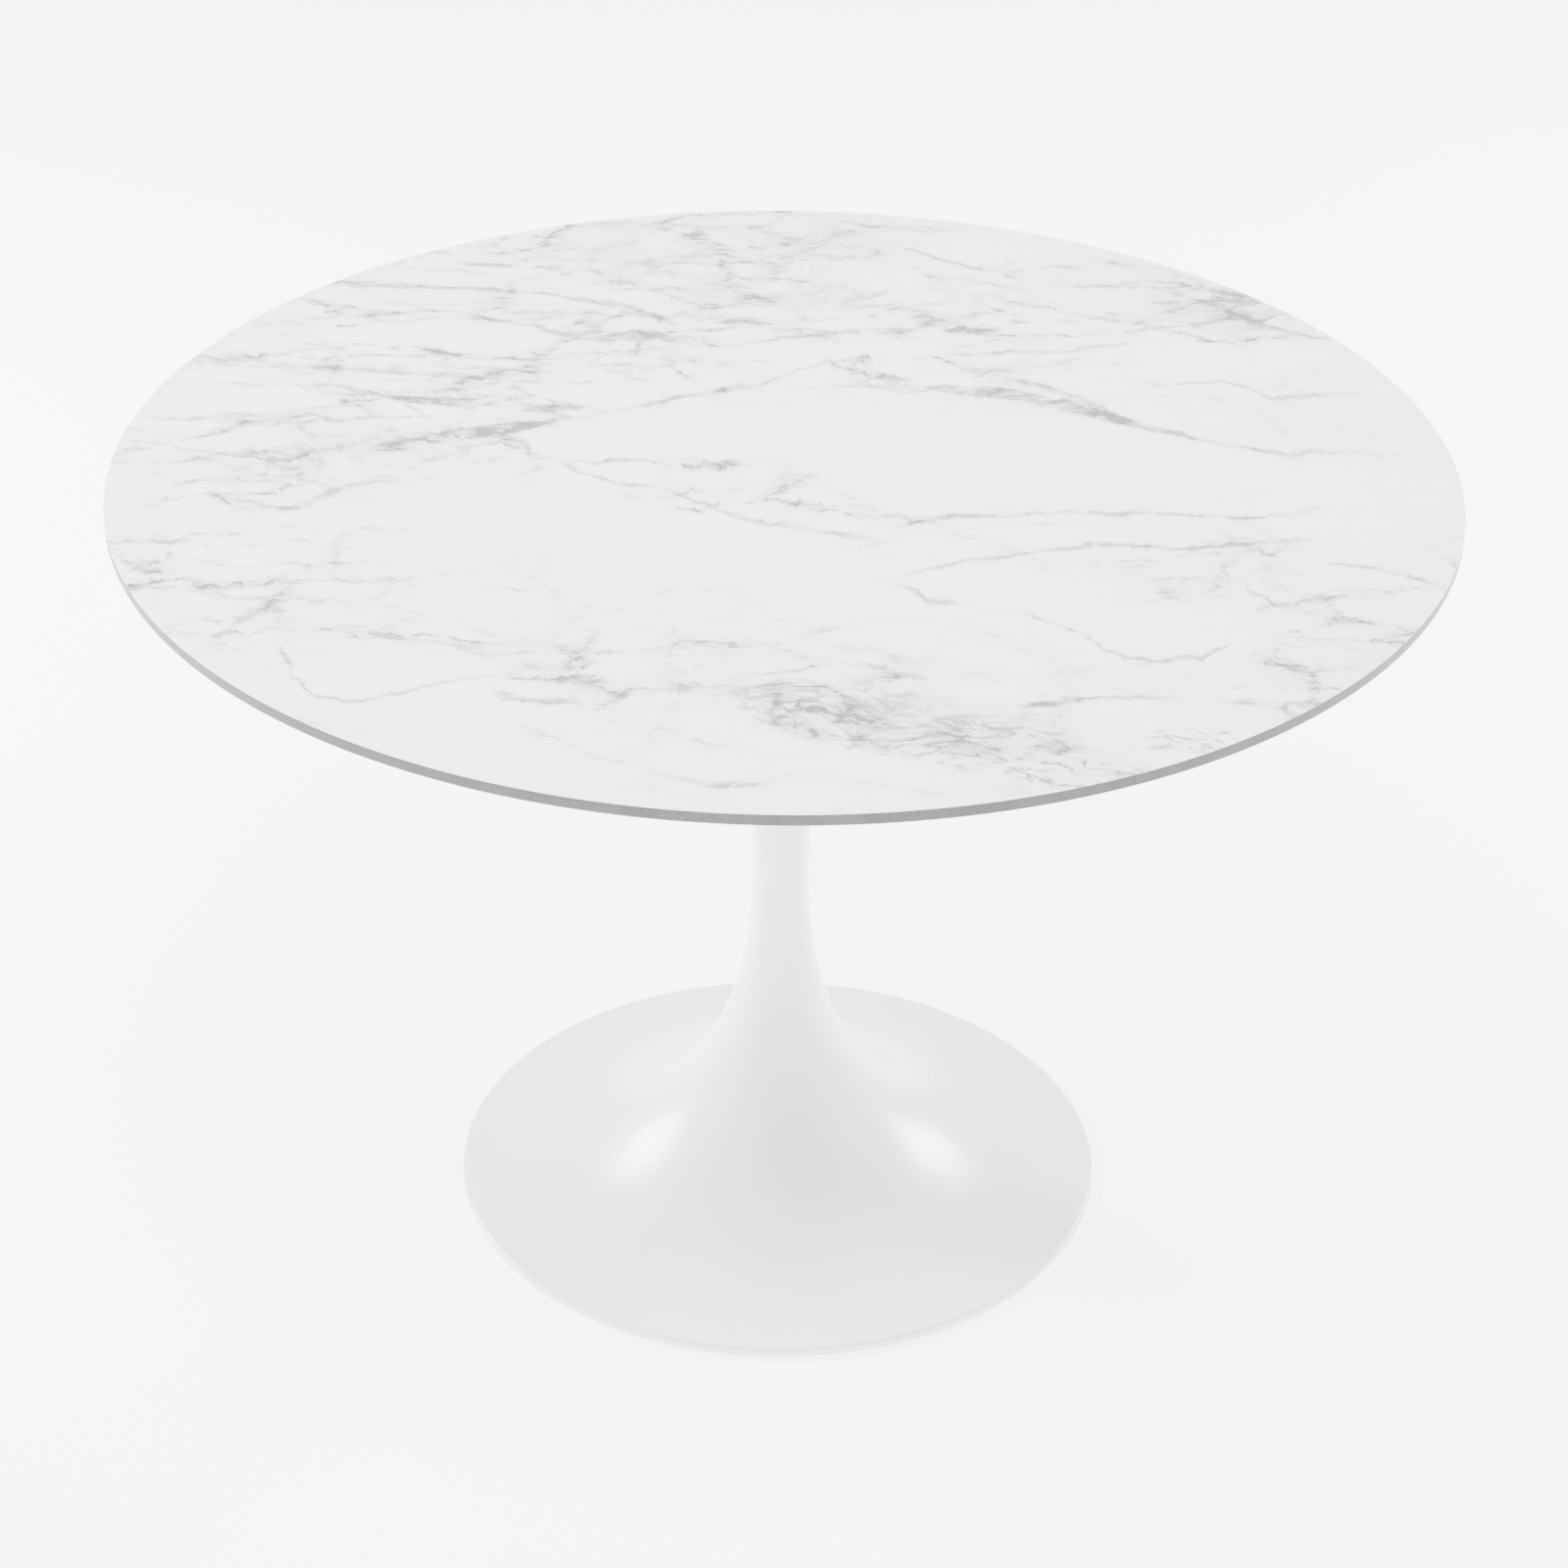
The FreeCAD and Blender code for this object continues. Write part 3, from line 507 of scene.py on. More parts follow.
VEINS = (
    Vein(((60, 182, 4, 0), (95, 178, 8, 0.9), (150, 170, 9, 1), (205, 162, 11, 1),
          (255, 138, 11, 1), (300, 112, 10, 0.9), (350, 84, 5, 0.9), (400, 55, 3, 0.9),
          (455, 44, 4, 0.6), (520, 45, 4, 0.3), (590, 0, 3, 0.1))),
    Vein(((205, 195, 3, 0), (225, 188, 5, 0.7), (262, 158, 8, 0.9), (300, 118, 7, 0.8),
          (330, 98, 4, 0))),
    Vein(((-195, 98, 2, 0), (-165, 112, 3, 0.5), (-120, 135, 4, 0.6), (-70, 158, 4, 0.8),
          (-45, 172, 7, 0.9), (-30, 170, 4, 0.6), (10, 210, 2, 0.4), (40, 231, 2, 0.5),
          (62, 205, 6, 0.7), (95, 196, 7, 0.9), (125, 190, 3, 0))),
    Vein(((-385, 28, 4, 0), (-360, 38, 12, 1), (-325, 50, 14, 1), (-285, 64, 15, 0.9),
          (-250, 78, 11, 1), (-215, 94, 6, 1), (-190, 102, 3, 0))),
    Vein(((-290, 48, 3, 0), (-265, 60, 6, 0.8), (-243, 50, 8, 1), (-232, 34, 6, 0.9),
          (-222, 18, 4, 0))),
    Vein(((-375, 148, 3, 0), (-355, 140, 6, 0.8), (-315, 134, 10, 1), (-280, 134, 9, 0.9),
          (-245, 122, 6, 0.7), (-205, 124, 7, 0.8), (-175, 112, 4, 0))),
    Vein(((-500, 398, 4, 0), (-470, 400, 8, 0.5), (-430, 396, 10, 0.7), (-390, 398, 4, 0.6),
          (-330, 396, 3, 0.7), (-260, 390, 3, 0.6), (-215, 378, 3, 0.6), (-180, 362, 7, 0.7),
          (-145, 345, 12, 0.7), (-115, 322, 9, 0.7), (-95, 300, 3, 0))),
    Vein(((-310, 335, 3, 0), (-290, 326, 3, 0.9), (-250, 308, 3, 0.7), (-210, 288, 5, 0.6),
          (-170, 280, 10, 0.7), (-135, 282, 11, 0.7), (-105, 276, 6, 0.7), (-85, 268, 3, 0))),
    Vein(((-60, 262, 2, 0), (-35, 272, 3, 0.8), (20, 290, 3, 0.5), (75, 303, 5, 0.6),
          (120, 306, 6, 0.7), (160, 330, 4, 0.7), (200, 350, 3, 0.4), (240, 372, 3, 0))),
    Vein(((-345, 252, 4, 0), (-330, 245, 5, 0.7), (-290, 231, 3, 0.7), (-245, 228, 3, 0.5),
          (-195, 235, 3, 0.6), (-160, 255, 2, 0))),
    Vein(((-210, 24, 2, 0), (-185, 0, 2, 0.6), (-155, -30, 3, 0.6), (-105, -42, 2, 0.5),
          (-65, -76, 2, 0.7), (-45, -92, 4, 0.7), (-5, -114, 4, 0.5), (35, -120, 4, 0.5),
          (70, -132, 4, 0.5), (95, -146, 2, 0))),
    Vein(((85, -118, 2, 0), (115, -108, 3, 0.8), (150, -92, 4, 0.7), (190, -90, 3, 0.5),
          (260, -78, 2, 0.5), (330, -84, 1.5, 0.6), (400, -84, 2, 0.7), (450, -74, 2, 0.5),
          (485, -66, 2, 0))),
    Vein(((70, -216, 2, 0), (105, -200, 4, 0.5), (150, -178, 3, 0.5), (220, -155, 2, 0.6),
          (280, -142, 2, 0.7), (350, -148, 2, 0.7), (400, -138, 2, 0.6), (450, -126, 1.5, 0.3),
          (490, -122, 2, 0))),
    Vein(((65, -205, 2, 0), (95, -222, 3, 0.6), (125, -246, 4, 0.6), (165, -258, 3, 0.4),
          (205, -264, 3, 0.5), (232, -290, 2, 0.6), (262, -330, 2, 0.5), (300, -350, 3, 0.6),
          (345, -346, 3, 0.7), (366, -322, 2, 0.5), (372, -300, 2, 0))),
    Vein(((375, -205, 2, 0), (392, -225, 2, 0.8), (420, -258, 3, 0.5), (455, -278, 3, 0.4),
          (510, -290, 2, 0.6), (540, -300, 2, 0))),
    Vein(((455, -165, 2, 0), (480, -178, 2, 0.7), (520, -190, 4, 0.6), (545, -204, 4, 0.7),
          (560, -215, 2, 0))),
    Vein(((-330, 454, 2, 0), (-310, 453, 3, 0.9), (-270, 452, 4, 0.8), (-235, 448, 3, 0.6),
          (-215, 446, 2, 0))),
    Vein(((110, 508, 3, 0), (130, 498, 5, 0.5), (155, 472, 4, 0.6), (185, 457, 3, 0.9),
          (225, 454, 3, 0.7), (275, 462, 3, 0.5), (310, 468, 2, 0))),
    Vein(((235, 425, 3, 0), (270, 414, 3, 0.6), (330, 414, 5, 0.4), (375, 408, 7, 0.6),
          (405, 380, 7, 0.6), (440, 345, 8, 0.6), (480, 312, 6, 0.6), (512, 298, 4, 0.8),
          (525, 292, 3, 0))),
    Vein(((150, 248, 2, 0), (175, 253, 2, 0.8), (225, 254, 2, 0.6), (270, 262, 3, 0.6),
          (300, 275, 2, 0.6), (330, 285, 2, 0))),
    Vein(((165, 195, 2, 0), (190, 210, 3, 0.6), (225, 224, 5, 0.7), (260, 236, 4, 0.6),
          (290, 256, 2, 0))),
    Vein(((-455, 172, 2, 0), (-430, 168, 2, 0.5), (-390, 152, 3, 0.6), (-350, 135, 2, 0.7),
          (-335, 112, 2, 0.6), (-325, 92, 2, 0))),
    Vein(((185, -424, 2, 0), (205, -424, 3, 0.9), (245, -420, 2, 0.8), (285, -417, 2, 0.5),
          (305, -415, 2, 0))),
    Vein(((-420, -330, 3, 0), (-405, -358, 3, 0.6), (-390, -392, 3, 0.7), (-372, -424, 2, 0.6),
          (-345, -432, 2, 0.5), (-300, -415, 3, 0.6), (-250, -395, 2, 0.2), (-220, -380, 2, 0))),
    Vein(((-425, -318, 3, 0), (-400, -310, 3, 0.5), (-350, -312, 4, 0.5), (-305, -330, 5, 0.5),
          (-255, -345, 3, 0.5), (-200, -372, 8, 0.3), (-150, -362, 4, 0))),
    Vein(((-215, -462, 3, 0), (-185, -480, 2, 0.3), (-140, -512, 2, 0.4), (-95, -545, 2, 0.4),
          (-50, -565, 4, 0.5), (-10, -556, 4, 0.5), (10, -535, 3, 0.3), (60, -530, 2, 0))),
    Vein(((-245, -405, 2, 0), (-225, -424, 5, 0.7), (-195, -432, 5, 0.7), (-165, -425, 3, 0.5),
          (-150, -435, 3, 0))),
    Vein(((330, 195, 3, 0), (345, 185, 3, 0.4), (400, 195, 3, 0.5), (450, 160, 3, 0.5),
          (500, 168, 3, 0.5), (560, 175, 2, 0))),
    Vein(((-590, 88, 3, 0), (-555, 90, 4, 0.5), (-510, 96, 6, 0.6), (-470, 104, 4, 0.5),
          (-430, 120, 4, 0.4), (-400, 130, 3, 0))),
    Vein(((-470, -95, 3, 0), (-440, -92, 4, 0.6), (-410, -70, 5, 0.6), (-385, -45, 6, 0.5),
          (-355, -30, 6, 0.6), (-325, -40, 3, 0))),
    Vein(((-460, 205, 2, 0), (-400, 196, 3, 0.5), (-330, 190, 4, 0.5), (-270, 186, 4, 0.5),
          (-200, 205, 3, 0.4), (-160, 250, 2, 0.5), (-60, 265, 2, 0))),
)


@dataclass(frozen=True)
class Patch:
    """An oval region of the marble, its centre, its half axes in millimetres and its turn in degrees."""

    x: float
    y: float
    half_length: float
    half_width: float
    turn: float = 0.0

    ENDLESS = 1.0e6

    def inside(self, graph: Graph, place: Signal, soft: float) -> Signal:
        """Amount from 1 well inside the oval to 0 outside it.

        Args:
            graph: the marble's graph.
            place: the place on the sheet.
            soft: how much of the radius the change takes.

        Returns:
            The amount.
        """
        centre = (self.x * MM, self.y * MM, 0.0)
        size = (self.half_length * MM, self.half_width * MM, self.ENDLESS)
        local = graph.framed(place, self.turn, centre, size)
        distance = graph.node("ShaderNodeVectorMath", {"operation": "LENGTH"}, {0: local}, "Value")
        return distance.fade(1.0 + soft / 2, 1.0 - soft / 2)


CLEAR_PATCHES = (
    Patch(-150, -120, 290, 62, -20),
    Patch(120, -235, 200, 55, -12),
    Patch(220, 30, 250, 90, -6),
    Patch(-290, -420, 110, 55, -20),
    Patch(-310, 290, 95, 28, -5),
    Patch(60, 250, 120, 16, 6),
    Patch(330, -290, 85, 55, 0),
    Patch(-110, 75, 60, 32, 0),
    Patch(420, 240, 110, 34, 5),
    Patch(-230, -520, 110, 38, -14),
    Patch(240, 510, 110, 50, 0),
    Patch(500, -60, 90, 110, 0),
)
BUSY_PATCHES = (
    Patch(-120, 480, 330, 130, 0),
    Patch(-380, 260, 240, 170, -10),
    Patch(60, 270, 330, 75, 8),
    Patch(330, 400, 240, 110, -28),
    Patch(-420, 10, 190, 110, 10),
    Patch(-430, -260, 190, 90, -18),
    Patch(-60, -395, 260, 60, -14),
    Patch(430, -300, 160, 160, 0),
    Patch(-40, -40, 170, 60, -24),
)
SPECKLED_PATCHES = (
    Patch(65, -462, 95, 34, -18),
    Patch(175, -502, 105, 46, -24),
    Patch(320, -480, 40, 18, 10),
)
CLOUDY_PATCHES = (
    Patch(10, 500, 75, 90, 0),
    Patch(-190, 490, 120, 70, 0),
    Patch(20, 400, 160, 45, -8),
    Patch(-430, 210, 110, 30, 0),
    Patch(60, -430, 150, 46, -18),
    Patch(420, 360, 70, 40, -30),
    Patch(-400, -20, 90, 70, 20),
)


@dataclass(frozen=True)
class Net:
    """Thin veins along the borders of a net of cells.

    The cells are given as so many a metre along X and along Y, and the widths as parts of a cell.
    """

    cells: Point
    line_width: float
    shade_width: float
    shade_depth: float

    SOFT_WIDTH = 2.6
    SOFT_SHARE = 0.4

    def darkness(self, graph: Graph, place: Signal, mask: Signal) -> Signal:
        """Darkness of the net.

        Args:
            graph: the marble's graph.
            place: the warped place.
            mask: how strongly the net shows.

        Returns:
            Darkness of the lines and of the soft shade beside them.
        """
        edge = graph.cracks(graph.stretched(place, (*self.cells, 1.0)))
        shade = edge.fade(self.shade_width, 0.0)
        fine = edge.fade(self.line_width, 0.0)
        soft = edge.fade(self.line_width * self.SOFT_WIDTH, 0.0)
        line = fine * (1.0 - self.SOFT_SHARE) + soft * self.SOFT_SHARE
        return (line + shade * shade * self.shade_depth) * mask


@dataclass(frozen=True)
class Marble:
    """Satin white marble look with fine grey veins that run mostly across the top.

    The warps are lists of noises, each given by its scale and its reach in metres. The other noises
    hold their scale, detail and roughness. The shares say how much each layer adds to the darkness.
    """

    name: str = "white_marble"
    ground: Colour = (0.87, 0.87, 0.87)
    shade: Colour = (0.44, 0.44, 0.44)
    core: Colour = (0.16, 0.16, 0.16)
    shade_range: Point = (0.0, 0.39)
    core_range: Point = (0.36, 0.88)
    roughness: Point = (0.28, 0.36)
    bend: tuple[Point, ...] = ((4.5, 0.045), (15.0, 0.016))
    tear: tuple[Point, ...] = ((48.0, 0.0085), (130.0, 0.0045), (380.0, 0.0014))
    sway: tuple[Point, ...] = ((13.0, 0.014), (42.0, 0.0075), (120.0, 0.0050), (360.0, 0.0018))
    run: Colour = (0.5, 1.0, 1.0)
    fibre_run: Colour = (0.30, 1.0, 1.0)
    second_place: Colour = (3.0, 7.0, 0.0)
    third_place: Colour = (11.0, 2.0, 0.0)
    cluster_turn: float = -25.0
    large_net: Net = Net((4.8, 12.5), 0.030, 0.22, 0.40)
    medium_net: Net = Net((9.5, 25.0), 0.045, 0.30, 0.35)
    small_net: Net = Net((22.0, 55.0), 0.08, 0.35, 0.30)
    thread_net: Net = Net((42.0, 105.0), 0.12, 0.45, 0.15)
    calm_flow: float = 0.25
    clear_share: float = 0.96
    minor_share: float = 0.95
    tick_share: float = 0.42
    cluster_share: float = 0.45
    smudge_share: float = 0.42
    fibre_noise: Colour = (190.0, 3.0, 0.65)
    fray_noise: Colour = (75.0, 3.0, 0.65)
    patchy_noise: Colour = (8.0, 2.0, 0.6)
    other_noise: Colour = (10.0, 2.0, 0.6)
    wide_noise: Colour = (11.0, 6.0, 0.62)
    blotch_noise: Colour = (34.0, 5.0, 0.68)
    uneven_noise: Colour = (24.0, 3.0, 0.6)
    polish_scale: float = 900.0
    polish_depth: float = 0.00002
    polish_strength: float = 0.25

    @staticmethod
    def covered(graph: Graph, place: Signal, patches: Sequence[Patch], soft: float) -> Signal:
        """Amount by which any of the oval regions covers a place.

        Args:
            graph: the marble's graph.
            place: the warped place.
            patches: the regions.
            soft: how much of each radius the change takes.

        Returns:
            The amount, from 0 to 1.
        """
        total = patches[0].inside(graph, place, soft)
        for patch in patches[1:]:
            total = total.at_least(patch.inside(graph, place, soft))
        return total

    def major(self, graph: Graph, bent: Signal, fibres: Signal) -> Signal:
        """Darkness of the large veins, each of which has its own course.

        Args:
            graph: the marble's graph.
            bent: the gently warped place.
            fibres: the fine fibrous noise.

        Returns:
            The darkness.
        """
        x, y, _ = graph.parts(graph.warped(graph.place(), self.sway))
        texture = VeinTexture(
            body=fibres.fade(0.34, 0.62, 0.12, 0.68),
            outline=fibres.fade(0.62, 0.40, 0.0, 0.5),
            shade=fibres * 0.55,
        )
        total = VEINS[0].darkness(graph, x, y, texture)
        for vein in VEINS[1:]:
            total = total + vein.darkness(graph, x, y, texture)
        uneven = graph.noise(graph.vector("ADD", bent, self.third_place), *self.uneven_noise)
        return total * uneven.fade(0.36, 0.60, 0.25, 1.1)

    def build(self) -> bpy.types.Material:
        """Make the material."""
        graph = Graph(self.name)
        bent = graph.warped(graph.place(), self.bend)
        ragged = graph.warped(bent, self.tear)
        drawn = graph.stretched(bent, self.run)
        fibres = graph.noise(graph.stretched(ragged, self.fibre_run), *self.fibre_noise)
        fray = graph.noise(drawn, *self.fray_noise)
        patchy = graph.noise(bent, *self.patchy_noise)
        other = graph.noise(graph.vector("ADD", bent, self.second_place), *self.other_noise)
        wide = graph.noise(drawn, *self.wide_noise)
        blotches = graph.noise(ragged, *self.blotch_noise).fade(0.46, 0.66)
        grain = fray * 0.9 + 0.45
        clouds = wide.fade(0.40, 0.72) * grain

        open_part = 1.0 - self.covered(graph, bent, CLEAR_PATCHES, 0.5) * self.clear_share
        busy = self.covered(graph, bent, BUSY_PATCHES, 0.9)
        speckled = self.covered(graph, bent, SPECKLED_PATCHES, 0.8)
        cloudy = self.covered(graph, bent, CLOUDY_PATCHES, 1.0)
        flow = (busy * (1.0 - self.calm_flow) + self.calm_flow) * open_part

        large = self.large_net.darkness(graph, ragged, patchy.fade(0.34, 0.62, 0.15, 1.0))
        medium = self.medium_net.darkness(graph, ragged, other.fade(0.38, 0.64, 0.10, 0.9))
        small = self.small_net.darkness(graph, ragged, wide.fade(0.42, 0.66))
        slanted = graph.framed(ragged, self.cluster_turn)
        threads = self.thread_net.darkness(graph, slanted, fray.fade(0.40, 0.60))

        near = (large + medium).at_most(1.0) * 0.75 + 0.25
        lines = (large * 0.44 + medium * 0.34 + small * near * 0.30) * fibres.fade(0.40, 0.62, 0.15, 1.45)
        minor = (lines + (clouds * 0.24 + blotches * 0.22) * near) * grain * flow
        ticks = (large + medium * 0.7).at_most(1.0) * flow * fibres.fade(0.56, 0.66)
        cluster = speckled * (threads * 1.5 + blotches * 0.3 + clouds * 0.3)
        smudge = cloudy * (wide.fade(0.38, 0.62) * 0.5 + blotches * 0.7)
        smudge = smudge * (fibres.fade(0.30, 0.70) * 0.7 + 0.3)
        total = self.major(graph, bent, fibres) + minor * self.minor_share + ticks * self.tick_share
        total = (total + cluster * self.cluster_share + smudge * self.smudge_share).at_most(1.0)

        light = graph.blend(total.spread(*self.shade_range), self.ground, self.shade)
        low, high = self.roughness
        graph.surface(
            Base_Color=graph.blend(total.spread(*self.core_range), light, self.core),
            Roughness=fray * (high - low) + low,
        )
        polish = graph.noise(graph.place(), self.polish_scale, 2.0)
        graph.relief(polish, self.polish_depth, self.polish_strength)
        return graph.material


FINISHES = {
    finish.name: finish
    for finish in (
        Finish("fibreboard", (0.23, 0.15, 0.088), (0.16, 0.10, 0.056), (0.75, 0.9), grain=Grain.FLAT_FIBRES,
               specular=0.3, patch_scale=60.0, grain_scale=900.0, relief_depth=0.0001),
        Finish("backing_sheet", (0.48, 0.475, 0.46), (0.42, 0.415, 0.40), (0.45, 0.6), grain_scale=1200.0),
        Finish("black_powder_coat", (0.009, 0.009, 0.010), (0.015, 0.015, 0.016), (0.45, 0.6),
               specular=0.25, grain_scale=1400.0, relief_depth=0.00012),
        Finish("bright_zinc", (0.62, 0.63, 0.66), (0.50, 0.51, 0.53), (0.22, 0.4), metallic=1.0,
               patch_scale=160.0, grain_scale=1500.0, relief_depth=0.00002),
        Finish("ground_steel", (0.60, 0.60, 0.61), (0.50, 0.50, 0.51), (0.2, 0.32), metallic=1.0,
               grain=Grain.UPRIGHT_DRAWN, grain_scale=700.0, relief_depth=0.00001),
        Finish("plate_steel", (0.36, 0.36, 0.37), (0.26, 0.26, 0.27), (0.35, 0.55), metallic=1.0,
               patch_scale=45.0, relief_depth=0.00004),
        Finish("machined_brass", (0.72, 0.52, 0.22), (0.60, 0.42, 0.16), (0.22, 0.35), metallic=1.0,
               grain_scale=900.0, relief_depth=0.00001),
        Finish("black_rubber", (0.010, 0.010, 0.010), (0.017, 0.017, 0.017), (0.75, 0.9), specular=0.25,
               grain_scale=1500.0),
        Finish("natural_nylon", (0.72, 0.70, 0.64), (0.66, 0.64, 0.58), (0.4, 0.5), grain_scale=500.0,
               relief_depth=0.00002),
        Finish("raw_iron", (0.09, 0.086, 0.082), (0.14, 0.135, 0.13), (0.6, 0.8), metallic=0.7,
               patch_scale=50.0, grain_scale=420.0, relief_depth=0.00035),
        Finish("textured_plastic", (0.012, 0.012, 0.013), (0.019, 0.019, 0.020), (0.55, 0.7),
               specular=0.25, grain_scale=1100.0, relief_depth=0.00012),
        Finish("pale_rubber", (0.66, 0.66, 0.66), (0.60, 0.60, 0.60), (0.6, 0.75), grain_scale=900.0),
    )
}


class Paints:
    """The materials made so far, each made once."""

    def __init__(self) -> None:
        """Start with none."""
        self.made: dict[str, bpy.types.Material] = {}

    def get(self, name: str) -> bpy.types.Material:
        """The material of a plain finish, made on first use."""
        return self.keep(FINISHES[name])

    def keep(self, finish: "Finish | SatinPaint | EdgeGrey | Marble") -> bpy.types.Material:
        """The material of any finish, made on first use."""
        if finish.name not in self.made:
            self.made[finish.name] = finish.build()
        return self.made[finish.name]


# ------------------------------------------------------------------ mesh work


class Shape:
    """A mesh in the making."""

    SHARP_ANGLE = math.radians(40.0)
    EASED_FACES = 2
    HEX_SIDES = 6

    def __init__(self) -> None:
        """Start an empty mesh."""
        self.bm = bmesh.new()

    @classmethod
    def turned(cls, profile: Sequence[Point], steps: int, closed: bool = True) -> "Shape":
        """Turn a profile about the table's axis.

        Args:
            profile: radius and height of each point.
            steps: faces round the axis.
            closed: whether the last point joins the first.

        Returns:
            The turned shape.
        """
        shape = cls()
        bm = shape.bm
        verts = [bm.verts.new((radius, 0.0, z)) for radius, z in profile]
        pairs = list(zip(verts, verts[1:]))
        if closed:
            pairs.append((verts[-1], verts[0]))
        edges = [bm.edges.new(pair) for pair in pairs]
        bmesh.ops.spin(
            bm, geom=verts + edges, cent=(0, 0, 0), axis=(0, 0, 1), dvec=(0, 0, 0),
            angle=math.tau, steps=steps, use_merge=True,
        )
        shape.tidy()
        return shape

    @classmethod
    def bar(cls, radius: float, low: float, high: float, steps: int) -> "Shape":
        """Round bar on the table's axis.

        Args:
            radius: the bar's radius.
            low: level of the lower face.
            high: level of the upper face.
            steps: faces round the bar.

        Returns:
            The bar.
        """
        shape = cls()
        bmesh.ops.create_cone(
            shape.bm, cap_ends=True, segments=steps, radius1=radius, radius2=radius, depth=high - low,
            matrix=Matrix.Translation((0, 0, (low + high) / 2)),
        )
        return shape

    @classmethod
    def copied(cls, node: str) -> "Shape":
        """Merged copy of a CAD node's mesh."""
        shape = cls()
        shape.bm.from_mesh(frame["nodes"][node].data)
        bmesh.ops.remove_doubles(shape.bm, verts=shape.bm.verts, dist=1.0e-6)
        return shape

    @classmethod
    def hexagon(cls, flats: float, low: float, high: float, easing: float) -> "Shape":
        """Six-sided head with its lower corners eased as on a turned bar.

        Args:
            flats: width across the flats.
            low: level of the outer face.
            high: level of the seat.
            easing: height of the easing at a corner.

        Returns:
            The head, on the table's axis.
        """
        shape = cls()
        bm = shape.bm
        corner = flats / math.sqrt(3)
        bmesh.ops.create_cone(
            bm, cap_ends=True, segments=cls.HEX_SIDES, radius1=corner, radius2=corner, depth=high - low,
            matrix=Matrix.Translation((0, 0, (low + high) / 2)),
        )
        planes = 2 * cls.HEX_SIDES
        for index in range(planes):
            turn = math.tau * (index + 0.5) / planes
            outward = Vector((math.cos(turn), math.sin(turn), -math.sqrt(3))).normalized()
            reach = corner - easing * math.sqrt(3)
            point = Vector((reach * math.cos(turn), reach * math.sin(turn), low))
            geom = list(bm.verts) + list(bm.edges) + list(bm.faces)
            cut = bmesh.ops.bisect_plane(
                bm, geom=geom, plane_co=point, plane_no=outward, clear_outer=True
            )
            rim = [item for item in cut["geom_cut"] if isinstance(item, bmesh.types.BMEdge)]
            bmesh.ops.contextual_create(bm, geom=rim)
        shape.tidy()
        return shape

    def tidy(self) -> None:
        """Merge doubles and turn every face outwards."""
        bmesh.ops.remove_doubles(self.bm, verts=self.bm.verts, dist=1.0e-7)
        bmesh.ops.recalc_face_normals(self.bm, faces=self.bm.faces)

    def add(self, other: "Shape") -> "Shape":
        """Take in another shape, which is then spent."""
        mesh = bpy.data.meshes.new("taken_in")
        other.bm.to_mesh(mesh)
        other.bm.free()
        self.bm.from_mesh(mesh)
        bpy.data.meshes.remove(mesh)
        return self

    def joined(self, level: float) -> "Shape":
        """Make two bodies one where the end of one lies within the other's face.

        Args:
            level: the level on which they meet.

        Returns:
            The same shape, now one body.
        """
        ends = [
            face for face in self.bm.faces
            if all(abs(vert.co.z - level) < TINY for vert in face.verts)
        ]
        rims = list(dict.fromkeys(edge for face in ends for edge in face.edges))
        bmesh.ops.delete(self.bm, geom=ends, context="FACES_ONLY")
        bmesh.ops.triangle_fill(self.bm, use_beauty=True, edges=rims, normal=(0, 0, 1))
        self.tidy()
        return self

    def ease(self, width: float) -> "Shape":
        """Round the sharp edges.

        Args:
            width: how far the rounding reaches from the edge.

        Returns:
            The same shape.
        """
        sharp = [edge for edge in self.bm.edges if edge.calc_face_angle(0.0) > self.SHARP_ANGLE]
        bmesh.ops.bevel(
            self.bm, geom=sharp, offset=width, segments=self.EASED_FACES, profile=0.5, affect="EDGES",
            material=-1, clamp_overlap=True, offset_type="OFFSET",
        )
        return self

    def moved(self, matrix: Matrix) -> "Shape":
        """Move the shape by a matrix."""
        bmesh.ops.transform(self.bm, matrix=matrix, verts=self.bm.verts)
        return self

    def around(self, count: int, start: float = 0.0) -> "Shape":
        """Repeat the shape evenly about the table's axis.

        Args:
            count: how many there are in all.
            start: angle of the first, in degrees.

        Returns:
            The same shape, now the whole ring.
        """
        seed = list(self.bm.verts) + list(self.bm.edges) + list(self.bm.faces)
        step = math.tau / count
        for index in range(1, count):
            made = bmesh.ops.duplicate(self.bm, geom=seed)["geom"]
            verts = [item for item in made if isinstance(item, bmesh.types.BMVert)]
            turn = Matrix.Rotation(step * index, 3, "Z")
            bmesh.ops.rotate(self.bm, cent=(0, 0, 0), matrix=turn, verts=verts)
        return self.moved(Matrix.Rotation(math.radians(start), 4, "Z"))

    def finish(
        self, name: str, material: bpy.types.Material, smooth: float = 32.0
    ) -> bpy.types.Object:
        """Turn the shape into an object of the scene.

        Args:
            name: the object's name.
            material: its material.
            smooth: edges that turn by more than this many degrees stay sharp.

        Returns:
            The object.
        """
        limit = math.radians(smooth)
        for face in self.bm.faces:
            face.smooth = True
        for edge in self.bm.edges:
            edge.smooth = edge.calc_face_angle(0.0) < limit
        mesh = bpy.data.meshes.new(name)
        self.bm.to_mesh(mesh)
        self.bm.free()
        mesh.materials.append(material)
        made = bpy.data.objects.new(name, mesh)
        bpy.context.scene.collection.objects.link(made)
        return made


